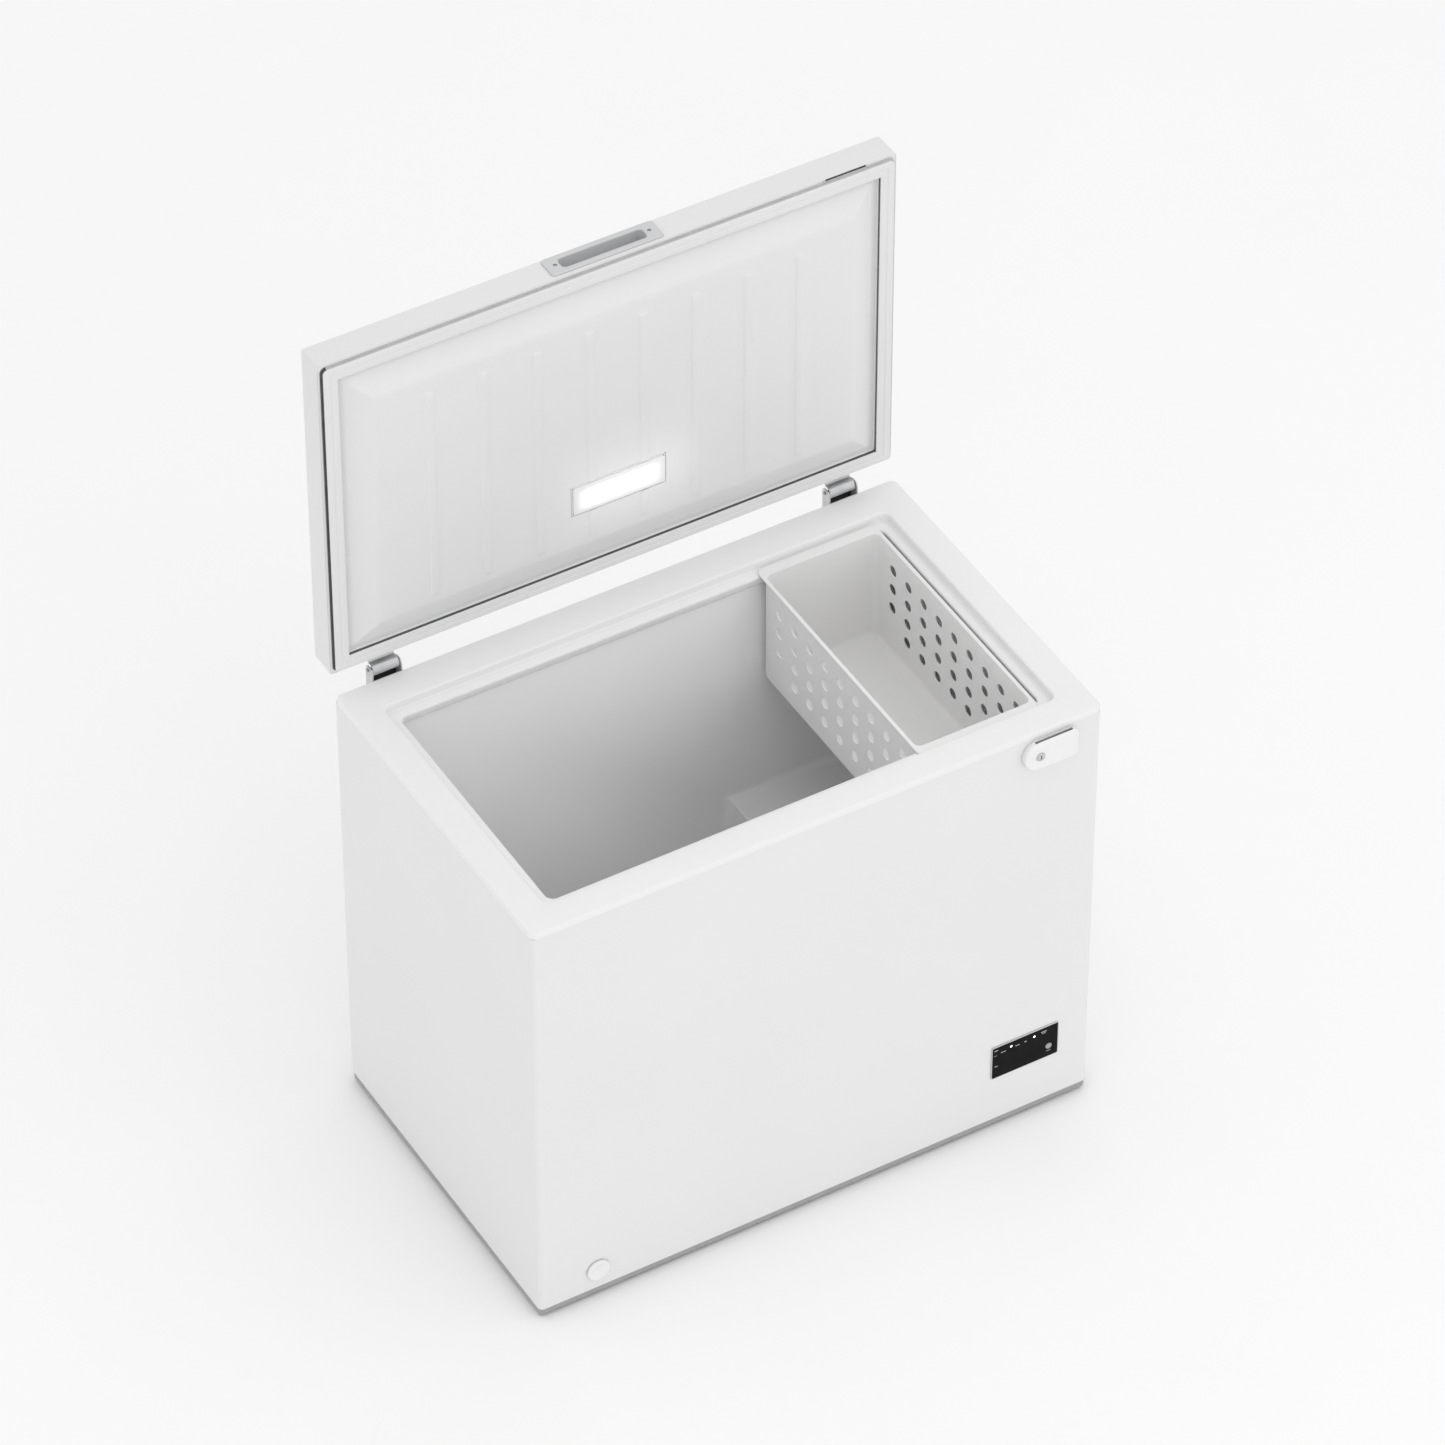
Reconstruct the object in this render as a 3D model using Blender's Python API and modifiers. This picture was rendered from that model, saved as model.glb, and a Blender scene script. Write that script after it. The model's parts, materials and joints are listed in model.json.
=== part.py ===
"""Chest freezer with its lid standing open: cabinet, lid, basket, lock, controls and cooling parts.

Metres, +Z up, front towards -Y. Everything is laid out in cabinet coordinates: x = 0 and y = 0 at the
middle of the cabinet, z = 0 on the floor. The lid is laid out closed and its pivot swings it open.
"""
import math

import bmesh
import bpy
from mathutils import Matrix, Vector

# ---- driving dimensions ----
WIDTH = 0.960
DEPTH = 0.588
FOOT_HEIGHT = 0.018
CABINET_TOP = 0.793
CABINET_Y = -0.023          # puts the middle of the open freezer's box over the origin
HALF_W = WIDTH / 2
HALF_D = DEPTH / 2
GAP = 0.0003                # between pieces that touch

# ---- cabinet ----
SHEET = 0.0008              # steel panels
SHELL_X = HALF_W - 0.001    # the trim stands 1 mm proud of the steel
SHELL_FRONT = -HALF_D + 0.001
SHELL_BACK = HALF_D - 0.001
CORNER_RADIUS = 0.008
LIP_HEIGHT = 0.010          # outer edge of the trim
TRIM_WALL = 0.003
TRIM_CORNER = 0.012
FLAT_SIDE = 0.050           # flat top of the trim: sides, front, back
FLAT_FRONT = 0.050
FLAT_BACK = 0.058
LEDGE_WIDTH = 0.018
LEDGE_DROP = 0.015
SKIRT = 0.030               # how far the trim reaches down into the tub
SHELL_TOP = CABINET_TOP - LIP_HEIGHT - GAP
LEDGE_Z = CABINET_TOP - LEDGE_DROP
MOUTH_X = HALF_W - FLAT_SIDE - LEDGE_WIDTH
MOUTH_FRONT = -HALF_D + FLAT_FRONT + LEDGE_WIDTH
MOUTH_BACK = HALF_D - FLAT_BACK - LEDGE_WIDTH
LINER_WALL = 0.001
LINER_OUT = 0.0033          # the tub's wall stands behind the trim's skirt
TUB_FLOOR = 0.078
STEP_X = 0.150              # left face of the step over the compressor bay
STEP_TOP = 0.345
TUB_RADIUS = 0.015
BAY_X = 0.205
BAY_TOP = 0.290
PAN_TOP = FOOT_HEIGHT + SHEET
FOOT_X = 0.430
FOOT_Y = 0.245
FOOT_RADIUS = 0.018
SKIRTING_LOW = 0.007        # grey strip round the base, between the steel and the floor
SKIRTING_WALL = 0.002
SKIRTING_BACK = 0.001       # how far it stands behind the steel's face
RIM_X = HALF_W - FLAT_SIDE  # edge of the flat top, where the ledge starts
RIM_Y = (-HALF_D + FLAT_FRONT, HALF_D - FLAT_BACK)
RIM_CORNER = 0.012
MOUTH_CORNER = 0.012
INSIDE_X = SHELL_X - SHEET - GAP
INSIDE_Y = (SHELL_FRONT + SHEET + GAP, SHELL_BACK - SHEET - GAP)
CLEAR = 0.01                # how far a cutter runs past the face it opens
COIL_RADIUS = 0.0035
COIL_BURY = 0.0033          # the coils lie in grooves that just break the foam's surface
COIL_TURNS = 3
COIL_RISE = 0.10
COVER_SHEET = 0.0018        # rear cover
COVER_LOW = (BAY_X + 0.006, 0.028)
COVER_HIGH = (HALF_W - 0.006, 0.283)
COVER_LAP = 0.007           # how far the rear cover overlaps its opening
LOUVRES = 7
LOUVRE_LENGTH = 0.190
LOUVRE_HEIGHT = 0.009
LOUVRE_PITCH = 0.026
LOUVRE_LOW = 0.085

# ---- lid, laid out closed ----
LID_BOTTOM = 0.801
LID_TOP = 0.850
LID_FRONT = -0.302
LID_BACK = LID_FRONT + DEPTH
HINGE_Y = 0.3075
HINGE_Z = 0.8035
COVER_WALL = 0.0015
COVER_RADIUS = 0.006
PLUG_FOOT = 0.044           # from the lid's edge to the foot of the raised inner panel
PLUG_RUN = 0.036            # sloped side of that panel
PLUG_DROP = 0.015
LINER_SHEET = 0.002
RIB_PITCH = 0.0882
RIBS = 8
GASKET_IN = 0.007
GASKET_WIDTH = 0.023
GASKET_HEIGHT = 0.0070

# ---- handle and lamp on the lid ----
HANDLE_WIDTH = 0.185
HANDLE_LOW = 0.8055
HANDLE_HIGH = 0.8460
POCKET_WIDTH = 0.140
POCKET_LOW = 0.8150
POCKET_HIGH = 0.8365
POCKET_DEPTH = 0.024
SCREW_X = 0.078
LAMP_Y = 0.117
LAMP_SIZE = (0.160, 0.056)
LAMP_HEIGHT = 0.016

# ---- hinges ----
HINGE_X = 0.391
HINGE_WIDTH = 0.050
PIN_RADIUS = 0.003
KNUCKLE_RADIUS = 0.0058

# ---- basket ----
BASKET_LEFT = 0.2035
BASKET_RIGHT = 0.4030
BASKET_END_GAP = 0.0025      # from the mouth to the basket's end walls
BASKET_BOTTOM = 0.577
BASKET_WALL = 0.0022
BASKET_RADIUS = 0.012
RIM_OUT = 0.004
RIM_FRONT = -0.240
RIM_BACK = 0.232
RIM_THICK = 0.0025
HOLE_RADIUS = 0.0092
HOLE_PITCH_Y = 0.0437
HOLE_PITCH_Z = 0.0370
HOLE_TOP_Z = 0.7385
HOLE_BACK_Y = 0.1665
HOLE_COLUMNS = 9
HOLE_ROWS = 4

# ---- lock ----
LOCK_X = 0.367
LOCK_Z = 0.752
LOCK_FACE = -0.3045
HOUSING_RADIUS = 0.026
HOUSING_RIGHT = 0.433
HOOK_FRONT = -0.2997
HOOK_BACK = -0.2977
HOOK_REACH = 0.061
HOOK_INNER = 0.056
HOOK_NUB = math.radians(15)
SLOT_RIGHT = 0.058          # the nub leaves through this end of the slot as the hook rises
CYLINDER_RADIUS = 0.007

# ---- control panel ----
PANEL_X = 0.3640
PANEL_Z = 0.1390
PANEL_WIDTH = 0.119
PANEL_HEIGHT = 0.066
PANEL_FACE = -0.2953
PANEL_LAP = 0.003           # how far the bezel overlaps the hole in the steel
PANEL_DEEP = 0.020
BUTTON_X = 0.4060
BUTTON_Z = 0.1290
BUTTON_RADIUS = 0.0055
LIGHTS = {"power_light": (0.339, 0.161), "alarm_light": (0.380, 0.161)}

# ---- drain ----
DRAIN_X = -0.380
DRAIN_Z = 0.056
DRAIN_CAP_RADIUS = 0.019
DRAIN_RADIUS = 0.009
DRAIN_LENGTH = 0.110

# ---- compressor bay ----
COMPRESSOR_X = 0.345
COMPRESSOR_Y = 0.020
PLATE_Z = 0.033
PLATE_THICK = 0.0025
GROMMET_X = 0.075
GROMMET_Y = 0.065
GROMMET_RADIUS = 0.011
DRIER_X = 0.235
DRIER_Y = 0.200
DRIER_Z = 0.120
PIPE_RADIUS = 0.003
GLAND_X = 0.250
GLAND_Z = 0.055
GLAND_RADIUS = 0.011
GLAND_LENGTH = 0.012
CORD_HOLE = 0.0042

# colour, roughness, metallic
FINISHES = {
    "white_steel": ((0.84, 0.85, 0.85), 0.32, 0.0),
    "white_plastic": ((0.86, 0.86, 0.86), 0.42, 0.0),
    "liner_white": ((0.80, 0.81, 0.82), 0.40, 0.0),
    "lid_liner_white": ((0.83, 0.84, 0.84), 0.45, 0.0),
    "basket_white": ((0.82, 0.80, 0.78), 0.48, 0.0),
    "gasket_white": ((0.76, 0.77, 0.77), 0.70, 0.0),
    "foam_cream": ((0.85, 0.78, 0.60), 0.90, 0.0),
    "silver_plastic": ((0.58, 0.59, 0.60), 0.38, 0.3),
    "zinc_steel": ((0.55, 0.56, 0.58), 0.35, 1.0),
    "spring_steel": ((0.45, 0.45, 0.46), 0.30, 1.0),
    "copper": ((0.80, 0.42, 0.26), 0.30, 1.0),
    "black_enamel": ((0.03, 0.03, 0.03), 0.40, 0.0),
    "black_rubber": ((0.04, 0.04, 0.04), 0.85, 0.0),
    "black_gloss": ((0.015, 0.015, 0.017), 0.15, 0.0),
    "dark_plastic": ((0.06, 0.06, 0.065), 0.50, 0.0),
    "foot_grey": ((0.20, 0.20, 0.21), 0.60, 0.0),
    "grey_plastic": ((0.45, 0.46, 0.47), 0.45, 0.0),
    "board_green": ((0.05, 0.22, 0.12), 0.50, 0.0),
    "light_guide": ((0.90, 0.95, 1.00), 0.20, 0.0),
    "lamp_lens": ((0.95, 0.96, 0.97), 0.25, 0.0),
}

ORIGINS = {}                # of each holder, in cabinet coordinates
AXIS_TURN = {
    "X": Matrix.Rotation(math.radians(90), 3, "Y"),
    "Y": Matrix.Rotation(math.radians(90), 3, "X"),
    "Z": Matrix.Identity(3),
}


def clear_scene():
    for obj in list(bpy.data.objects):
        bpy.data.objects.remove(obj, do_unlink=True)


def new_collection(name):
    collection = bpy.data.collections.new(name)
    bpy.context.scene.collection.children.link(collection)
    return collection


def make_material(name):
    colour, roughness, metallic = FINISHES[name]
    material = bpy.data.materials.new(name)
    material.use_nodes = True
    shader = material.node_tree.nodes["Principled BSDF"]
    shader.inputs["Base Color"].default_value = (*colour, 1.0)
    shader.inputs["Roughness"].default_value = roughness
    shader.inputs["Metallic"].default_value = metallic
    material.diffuse_color = (*colour, 1.0)
    return material


def holder(name, at, parent=None, turn=0.0):
    """An empty at a joint; turn swings it about X away from the layout."""
    empty = bpy.data.objects.new(name, None)
    PARTS.objects.link(empty)
    if parent:
        empty.parent = parent
        empty.location = Vector(at) - ORIGINS[parent.name]
    else:
        empty.location = (at[0], at[1] + CABINET_Y, at[2])
    empty.rotation_euler.x = turn
    ORIGINS[empty.name] = Vector(at)
    return empty


# ---- shape helpers: a shape with no finish is a cutter ----
def place(obj, parent, centre, finish):
    if finish:
        PARTS.objects.link(obj)
        obj.data.materials.append(MATERIALS[finish])
    else:
        CUTTERS.objects.link(obj)
        obj.hide_render = True
        obj.display_type = "WIRE"
    obj.parent = parent
    obj.location = Vector(centre) - ORIGINS[parent.name]
    return obj


def place_mesh(name, shape, parent, centre, finish):
    mesh = bpy.data.meshes.new(name)
    shape.to_mesh(mesh)
    shape.free()
    mesh.shade_smooth()
    mesh.set_sharp_from_angle(angle=math.radians(35))
    return place(bpy.data.objects.new(name, mesh), parent, centre, finish)


def cube_shape(size, open_faces=()):
    """A box round the origin, without the faces whose outward directions are listed."""
    shape = bmesh.new()
    bmesh.ops.create_cube(shape, size=1.0)
    bmesh.ops.scale(shape, vec=size, verts=shape.verts)
    ways = [Vector(way) for way in open_faces]
    gone = [face for face in shape.faces if any(face.normal.dot(way) > 0.9 for way in ways)]
    bmesh.ops.delete(shape, geom=gone, context="FACES_ONLY")
    return shape


def round_edges(shape, axes, radius, segments):
    """Round the edges that run along the given axes and have a face on both sides."""
    chosen = []
    for edge in shape.edges:
        run = (edge.verts[0].co - edge.verts[1].co).normalized()
        along = "XYZ"[max(range(3), key=lambda i: abs(run[i]))]
        if along in axes and len(edge.link_faces) == 2:
            chosen.append(edge)
    bmesh.ops.bevel(
        shape, geom=chosen, offset=radius, segments=segments, profile=0.5, affect="EDGES"
    )


def box(name, low, high, parent, finish=None, radius=0.0, axes="Z", segments=3, open_faces=()):
    low, high = Vector(low), Vector(high)
    shape = cube_shape(high - low, open_faces)
    if radius:
        round_edges(shape, axes, radius, segments)
    return place_mesh(name, shape, parent, (low + high) / 2, finish)


def cylinder(name, centre, radius, length, axis, parent, finish=None, segments=24):
    shape = bmesh.new()
    bmesh.ops.create_cone(
        shape, cap_ends=True, segments=segments, radius1=radius, radius2=radius, depth=length
    )
    bmesh.ops.rotate(shape, cent=(0, 0, 0), matrix=AXIS_TURN[axis], verts=shape.verts)
    return place_mesh(name, shape, parent, centre, finish)


def turned(name, centre, profile, parent, finish, steps=24):
    """A profile of (radius, height) points, listed from the top down, turned about Z."""
    shape = bmesh.new()
    points = [shape.verts.new((radius, 0.0, height)) for radius, height in profile]
    for first, second in zip(points, points[1:]):
        shape.edges.new((first, second))
    obj = place_mesh(name, shape, parent, centre, finish)
    screw = obj.modifiers.new("turn", "SCREW")
    screw.steps = steps
    screw.render_steps = steps
    screw.use_merge_vertices = True
    screw.merge_threshold = 0.00005
    return obj


def arc(centre, radius, start, end, count):
    """Points from one angle to the other, in degrees, ends included."""
    angles = [math.radians(start + (end - start) * i / (count - 1)) for i in range(count)]
    return [(centre[0] + radius * math.cos(a), centre[1] + radius * math.sin(a)) for a in angles]


def upright_plate(name, outline, front, back, parent, finish):
    """A flat plate facing the front, from an outline of (x, z) points."""
    curve = bpy.data.curves.new(name, "CURVE")
    curve.dimensions = "2D"
    curve.fill_mode = "BOTH"
    curve.extrude = (back - front) / 2
    spline = curve.splines.new("POLY")
    spline.points.add(len(outline) - 1)
    spline.use_cyclic_u = True
    base = ORIGINS[parent.name]
    for point, (x, z) in zip(spline.points, outline):
        point.co = (x - base.x, z - base.z, 0.0, 1.0)
    middle = (base.x, (front + back) / 2, base.z)
    obj = place(bpy.data.objects.new(name, curve), parent, middle, finish)
    obj.rotation_euler.x = math.radians(90)
    return obj


def tube(name, path, radius, parent, finish=None, sides=6, closed=False):
    curve = bpy.data.curves.new(name, "CURVE")
    curve.dimensions = "3D"
    curve.bevel_depth = radius
    curve.bevel_resolution = (sides - 4) // 2
    curve.use_fill_caps = True
    spline = curve.splines.new("POLY")
    spline.points.add(len(path) - 1)
    spline.use_cyclic_u = closed
    base = ORIGINS[parent.name]
    for point, at in zip(spline.points, path):
        point.co = (*(Vector(at) - base), 1.0)
    return place(bpy.data.objects.new(name, curve), parent, base, finish)


def as_mesh(curve_object):
    """The curve object made a mesh object, so that it can be cut or can cut."""
    bpy.context.view_layer.update()
    evaluated = curve_object.evaluated_get(bpy.context.evaluated_depsgraph_get())
    mesh = bpy.data.meshes.new_from_object(evaluated)
    shape = bmesh.new()
    shape.from_mesh(mesh)
    bmesh.ops.remove_doubles(shape, verts=shape.verts, dist=0.000001)
    shape.to_mesh(mesh)
    shape.free()
    name = curve_object.name
    curve_object.name = name + "_curve"
    obj = bpy.data.objects.new(name, mesh)
    curve_object.users_collection[0].objects.link(obj)
    obj.hide_render = curve_object.hide_render
    obj.display_type = curve_object.display_type
    obj.parent = curve_object.parent
    obj.matrix_world = curve_object.matrix_world.copy()
    bpy.data.objects.remove(curve_object, do_unlink=True)
    return obj


def combine(target, others, operation):
    for other in others:
        step = target.modifiers.new(other.name, "BOOLEAN")
        step.operation = operation
        step.object = other
    return target


def cut(target, *others):
    return combine(target, others, "DIFFERENCE")


def join(target, *others):
    return combine(target, others, "UNION")


def thicken(obj, thickness):
    """Give an open surface a wall on its inner side."""
    solid = obj.modifiers.new("wall", "SOLIDIFY")
    solid.thickness = thickness
    solid.offset = -1.0
    solid.use_even_offset = True
    return obj


def smooth_path(corners, per_span=5):
    """Points of a Catmull-Rom curve through the corners."""
    ends = [corners[0], *corners, corners[-1]]
    ends = [Vector(corner) for corner in ends]
    path = []
    for a, b, c, d in zip(ends, ends[1:], ends[2:], ends[3:]):
        for i in range(per_span):
            t = i / per_span
            path.append(
                0.5 * (2 * b + (c - a) * t + (2 * a - 5 * b + 4 * c - d) * t**2
                       + (3 * b - a - 3 * c + d) * t**3)
            )
    return path + [ends[-1]]


# ---- cabinet ----
def tub_form(name, grow):
    """The inside of the tub as a solid, grown by a wall: the deep well and the space over the step."""
    out = LINER_OUT + grow
    left, right = -MOUTH_X - out, MOUTH_X + out
    front, back = MOUTH_FRONT - out, MOUTH_BACK + out
    top = CABINET_TOP + CLEAR
    radius = TUB_RADIUS + grow
    well = box(
        name, (left, front, TUB_FLOOR - grow), (STEP_X + grow, back, top),
        CABINET, radius=radius, segments=4,
    )
    over_step = box(
        name + "_over_step", (left / 2, front, STEP_TOP - grow), (right, back, top),
        CABINET, radius=radius, segments=4,
    )
    return join(well, over_step)


def make_shell():
    low = (-SHELL_X, SHELL_FRONT, FOOT_HEIGHT)
    high = (SHELL_X, SHELL_BACK, SHELL_TOP)
    shell = box(
        "outer_shell", low, high, CABINET, "white_steel", CORNER_RADIUS,
        open_faces=((0, 0, 1), (0, 0, -1), (0, 1, 0)),
    )
    thicken(shell, SHEET)
    half_w, half_h = PANEL_WIDTH / 2 - PANEL_LAP, PANEL_HEIGHT / 2 - PANEL_LAP
    panel_hole = box(
        "panel_hole", (PANEL_X - half_w, SHELL_FRONT - CLEAR, PANEL_Z - half_h),
        (PANEL_X + half_w, SHELL_FRONT + CLEAR, PANEL_Z + half_h), CABINET,
    )
    drain_hole = cylinder(
        "drain_hole", (DRAIN_X, SHELL_FRONT, DRAIN_Z), DRAIN_RADIUS + 0.0005, 2 * CLEAR, "Y", CABINET
    )
    cut(shell, panel_hole, drain_hole)


def make_back():
    back = box(
        "back_panel", (-INSIDE_X, SHELL_BACK - SHEET, FOOT_HEIGHT), (INSIDE_X, SHELL_BACK, SHELL_TOP),
        CABINET, "white_steel",
    )
    opening = box(
        "bay_opening", (COVER_LOW[0] + COVER_LAP, SHELL_BACK - CLEAR, COVER_LOW[1] + COVER_LAP),
        (COVER_HIGH[0] - COVER_LAP, SHELL_BACK + CLEAR, COVER_HIGH[1] - COVER_LAP), CABINET,
    )
    cut(back, opening)
    cover = box(
        "rear_cover", (COVER_LOW[0], SHELL_BACK + GAP, COVER_LOW[1]),
        (COVER_HIGH[0], SHELL_BACK + COVER_SHEET, COVER_HIGH[1]), CABINET, "dark_plastic",
    )
    left = (COVER_LOW[0] + COVER_HIGH[0] - LOUVRE_LENGTH) / 2
    for row in range(LOUVRES):
        z = LOUVRE_LOW + LOUVRE_PITCH * row
        slot = box(
            f"louvre_{row + 1}", (left, SHELL_BACK - CLEAR, z),
            (left + LOUVRE_LENGTH, SHELL_BACK + CLEAR, z + LOUVRE_HEIGHT), CABINET,
        )
        cut(cover, slot)
    cord_hole = cylinder(
        "cord_hole", (GLAND_X, SHELL_BACK, GLAND_Z), CORD_HOLE, 2 * CLEAR, "Y", CABINET, segments=12
    )
    cut(cover, cord_hole)


def make_base():
    front, back = INSIDE_Y
    box(
        "base_pan", (-INSIDE_X, front, FOOT_HEIGHT), (INSIDE_X, back, PAN_TOP), CABINET, "zinc_steel",
        CORNER_RADIUS - SHEET,
    )
    height = FOOT_HEIGHT - GAP
    for side, x in (("left", -FOOT_X), ("right", FOOT_X)):
        for end, y in (("front", -FOOT_Y), ("back", FOOT_Y)):
            cylinder(
                f"foot_{end}_{side}", (x, y, height / 2), FOOT_RADIUS, height, "Z", CABINET, "foot_grey"
            )
    reach_x, reach_y = SHELL_X - SKIRTING_BACK, SHELL_BACK - SKIRTING_BACK
    skirting = box(
        "skirting", (-reach_x, -reach_y, SKIRTING_LOW), (reach_x, reach_y, height), CABINET,
        "grey_plastic", CORNER_RADIUS - SKIRTING_BACK,
    )
    inner_x, inner_y = reach_x - SKIRTING_WALL, reach_y - SKIRTING_WALL
    inside = box(
        "skirting_inside", (-inner_x, -inner_y, SKIRTING_LOW - CLEAR), (inner_x, inner_y, height + CLEAR),
        CABINET, radius=CORNER_RADIUS - SKIRTING_BACK - SKIRTING_WALL,
    )
    cut(skirting, inside)


def make_top_frame():
    """A hollow trim: outer lip, flat top, a ledge one step down and a skirt that reaches into the tub."""
    lip_bottom = CABINET_TOP - LIP_HEIGHT
    above, below = CABINET_TOP + CLEAR, CABINET_TOP - 0.05
    inner_top = CABINET_TOP - 0.001
    frame = box(
        "top_frame", (-HALF_W, -HALF_D, lip_bottom), (HALF_W, HALF_D, CABINET_TOP),
        CABINET, "white_plastic", TRIM_CORNER, segments=4,
    )
    hollow = box(
        "under_flat", (-HALF_W + TRIM_WALL, -HALF_D + TRIM_WALL, below),
        (HALF_W - TRIM_WALL, HALF_D - TRIM_WALL, CABINET_TOP - TRIM_WALL),
        CABINET, radius=TRIM_CORNER - TRIM_WALL,
    )
    ledge = box(
        "ledge_block", (-RIM_X - TRIM_WALL, RIM_Y[0] - TRIM_WALL, LEDGE_Z - TRIM_WALL),
        (RIM_X + TRIM_WALL, RIM_Y[1] + TRIM_WALL, inner_top), CABINET, radius=RIM_CORNER + TRIM_WALL,
    )
    skirt = box(
        "skirt_block", (-MOUTH_X - TRIM_WALL, MOUTH_FRONT - TRIM_WALL, CABINET_TOP - SKIRT),
        (MOUTH_X + TRIM_WALL, MOUTH_BACK + TRIM_WALL, inner_top), CABINET, radius=TUB_RADIUS, segments=4,
    )
    recess = box(
        "ledge_recess", (-RIM_X, RIM_Y[0], LEDGE_Z), (RIM_X, RIM_Y[1], above),
        CABINET, radius=RIM_CORNER, segments=4,
    )
    mouth = box(
        "mouth", (-MOUTH_X, MOUTH_FRONT, below), (MOUTH_X, MOUTH_BACK, above),
        CABINET, radius=MOUTH_CORNER, segments=4,
    )
    cut(frame, hollow)
    join(frame, ledge, skirt)
    cut(frame, recess, mouth)


def make_liner():
    liner = tub_form("inner_liner_form", LINER_WALL)
    liner.name = "inner_liner"
    CUTTERS.objects.unlink(liner)
    PARTS.objects.link(liner)
    liner.hide_render = False
    liner.display_type = "TEXTURED"
    liner.data.materials.append(MATERIALS["liner_white"])
    above = box(
        "above_liner", (-WIDTH, -DEPTH, LEDGE_Z - TRIM_WALL - GAP),
        (WIDTH, DEPTH, CABINET_TOP + 0.05), CABINET,
    )
    drain = cylinder(
        "floor_drain", (DRAIN_X + 0.02, MOUTH_FRONT + 0.03, TUB_FLOOR), 0.006, 2 * CLEAR, "Z", CABINET
    )
    cut(liner, tub_form("tub_inside", 0.0), above, drain)


def coil_path(reach, radius, first_z, rise, turns):
    """A rising rectangular coil with rounded corners; reach is (left, right, front, back)."""
    left, right, front, back = reach
    corners = [(right, front, -90), (right, back, 0), (left, back, 90), (left, front, 180)]
    path = []
    for turn in range(turns):
        for x, y, start in corners:
            middle = (x - math.copysign(radius, x), y - math.copysign(radius, y))
            path += arc(middle, radius, start, start + 90, 5)
    last = len(path) - 1
    return [(x, y, first_z + rise * turns * i / last) for i, (x, y) in enumerate(path)]


def make_foam():
    front, back = INSIDE_Y
    foam = box(
        "cabinet_foam", (-INSIDE_X, front, PAN_TOP + GAP), (INSIDE_X, back, SHELL_TOP), CABINET,
        "foam_cream", CORNER_RADIUS - SHEET,
    )
    wall = TRIM_WALL + GAP
    upper = box(
        "foam_under_trim", (-HALF_W + wall, -HALF_D + wall, SHELL_TOP - 0.005),
        (HALF_W - wall, HALF_D - wall, CABINET_TOP - wall), CABINET, radius=TRIM_CORNER - TRIM_WALL,
    )
    join(foam, upper)
    tub = tub_form("foam_tub_space", LINER_WALL + GAP)
    ledge = box(
        "foam_ledge_space", (-RIM_X - wall, RIM_Y[0] - wall, LEDGE_Z - wall),
        (RIM_X + wall, RIM_Y[1] + wall, CABINET_TOP + CLEAR), CABINET, radius=RIM_CORNER + TRIM_WALL,
    )
    bay = box("foam_bay", (BAY_X, -DEPTH, -CLEAR), (WIDTH, DEPTH, BAY_TOP), CABINET)
    cut(foam, tub, ledge, bay)
    drain = cylinder(
        "foam_drain", (DRAIN_X, front + 0.06, DRAIN_Z), DRAIN_RADIUS + GAP, DRAIN_LENGTH + 0.03, "Y",
        CABINET, segments=16,
    )
    cut(foam, drain)
    out = LINER_OUT + LINER_WALL + GAP + COIL_BURY
    tub_reach = (-MOUTH_X - out, MOUTH_X + out, MOUTH_FRONT - out, MOUTH_BACK + out)
    shell_reach = (-INSIDE_X + COIL_BURY, INSIDE_X - COIL_BURY, front + COIL_BURY, back - COIL_BURY)
    coils = (
        ("evaporator_coil", tub_reach, TUB_RADIUS + LINER_WALL + GAP + COIL_BURY, 0.40),
        ("condenser_coil", shell_reach, 0.012, 0.45),
    )
    for name, reach, radius, first_z in coils:
        path = coil_path(reach, radius, first_z, COIL_RISE, COIL_TURNS)
        tube(name, path, COIL_RADIUS, CABINET, "copper")
        groove = tube(name + "_groove", path, COIL_RADIUS + 0.0007, CABINET)
        cut(foam, as_mesh(groove))


def make_drain():
    at = (DRAIN_X, SHELL_FRONT + DRAIN_LENGTH / 2, DRAIN_Z)
    drain = cylinder("drain_tube", at, DRAIN_RADIUS, DRAIN_LENGTH, "Y", CABINET, "white_plastic", 16)
    bore = cylinder(
        "drain_bore", at, DRAIN_RADIUS - 0.002, DRAIN_LENGTH + 2 * CLEAR, "Y", CABINET, segments=16
    )
    cut(drain, bore)
    cap_back = SHELL_FRONT - 0.0008
    pull = holder("drain_cap_pull", (DRAIN_X, cap_back, DRAIN_Z), CABINET)
    cap = cylinder(
        "drain_cap", (DRAIN_X, cap_back - 0.0025, DRAIN_Z), DRAIN_CAP_RADIUS, 0.005, "Y",
        pull, "white_plastic", 32,
    )
    shank = cylinder(
        "cap_shank", (DRAIN_X, cap_back + 0.007, DRAIN_Z), DRAIN_RADIUS - 0.0024, 0.018, "Y",
        pull, segments=16,
    )
    join(cap, shank)


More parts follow.
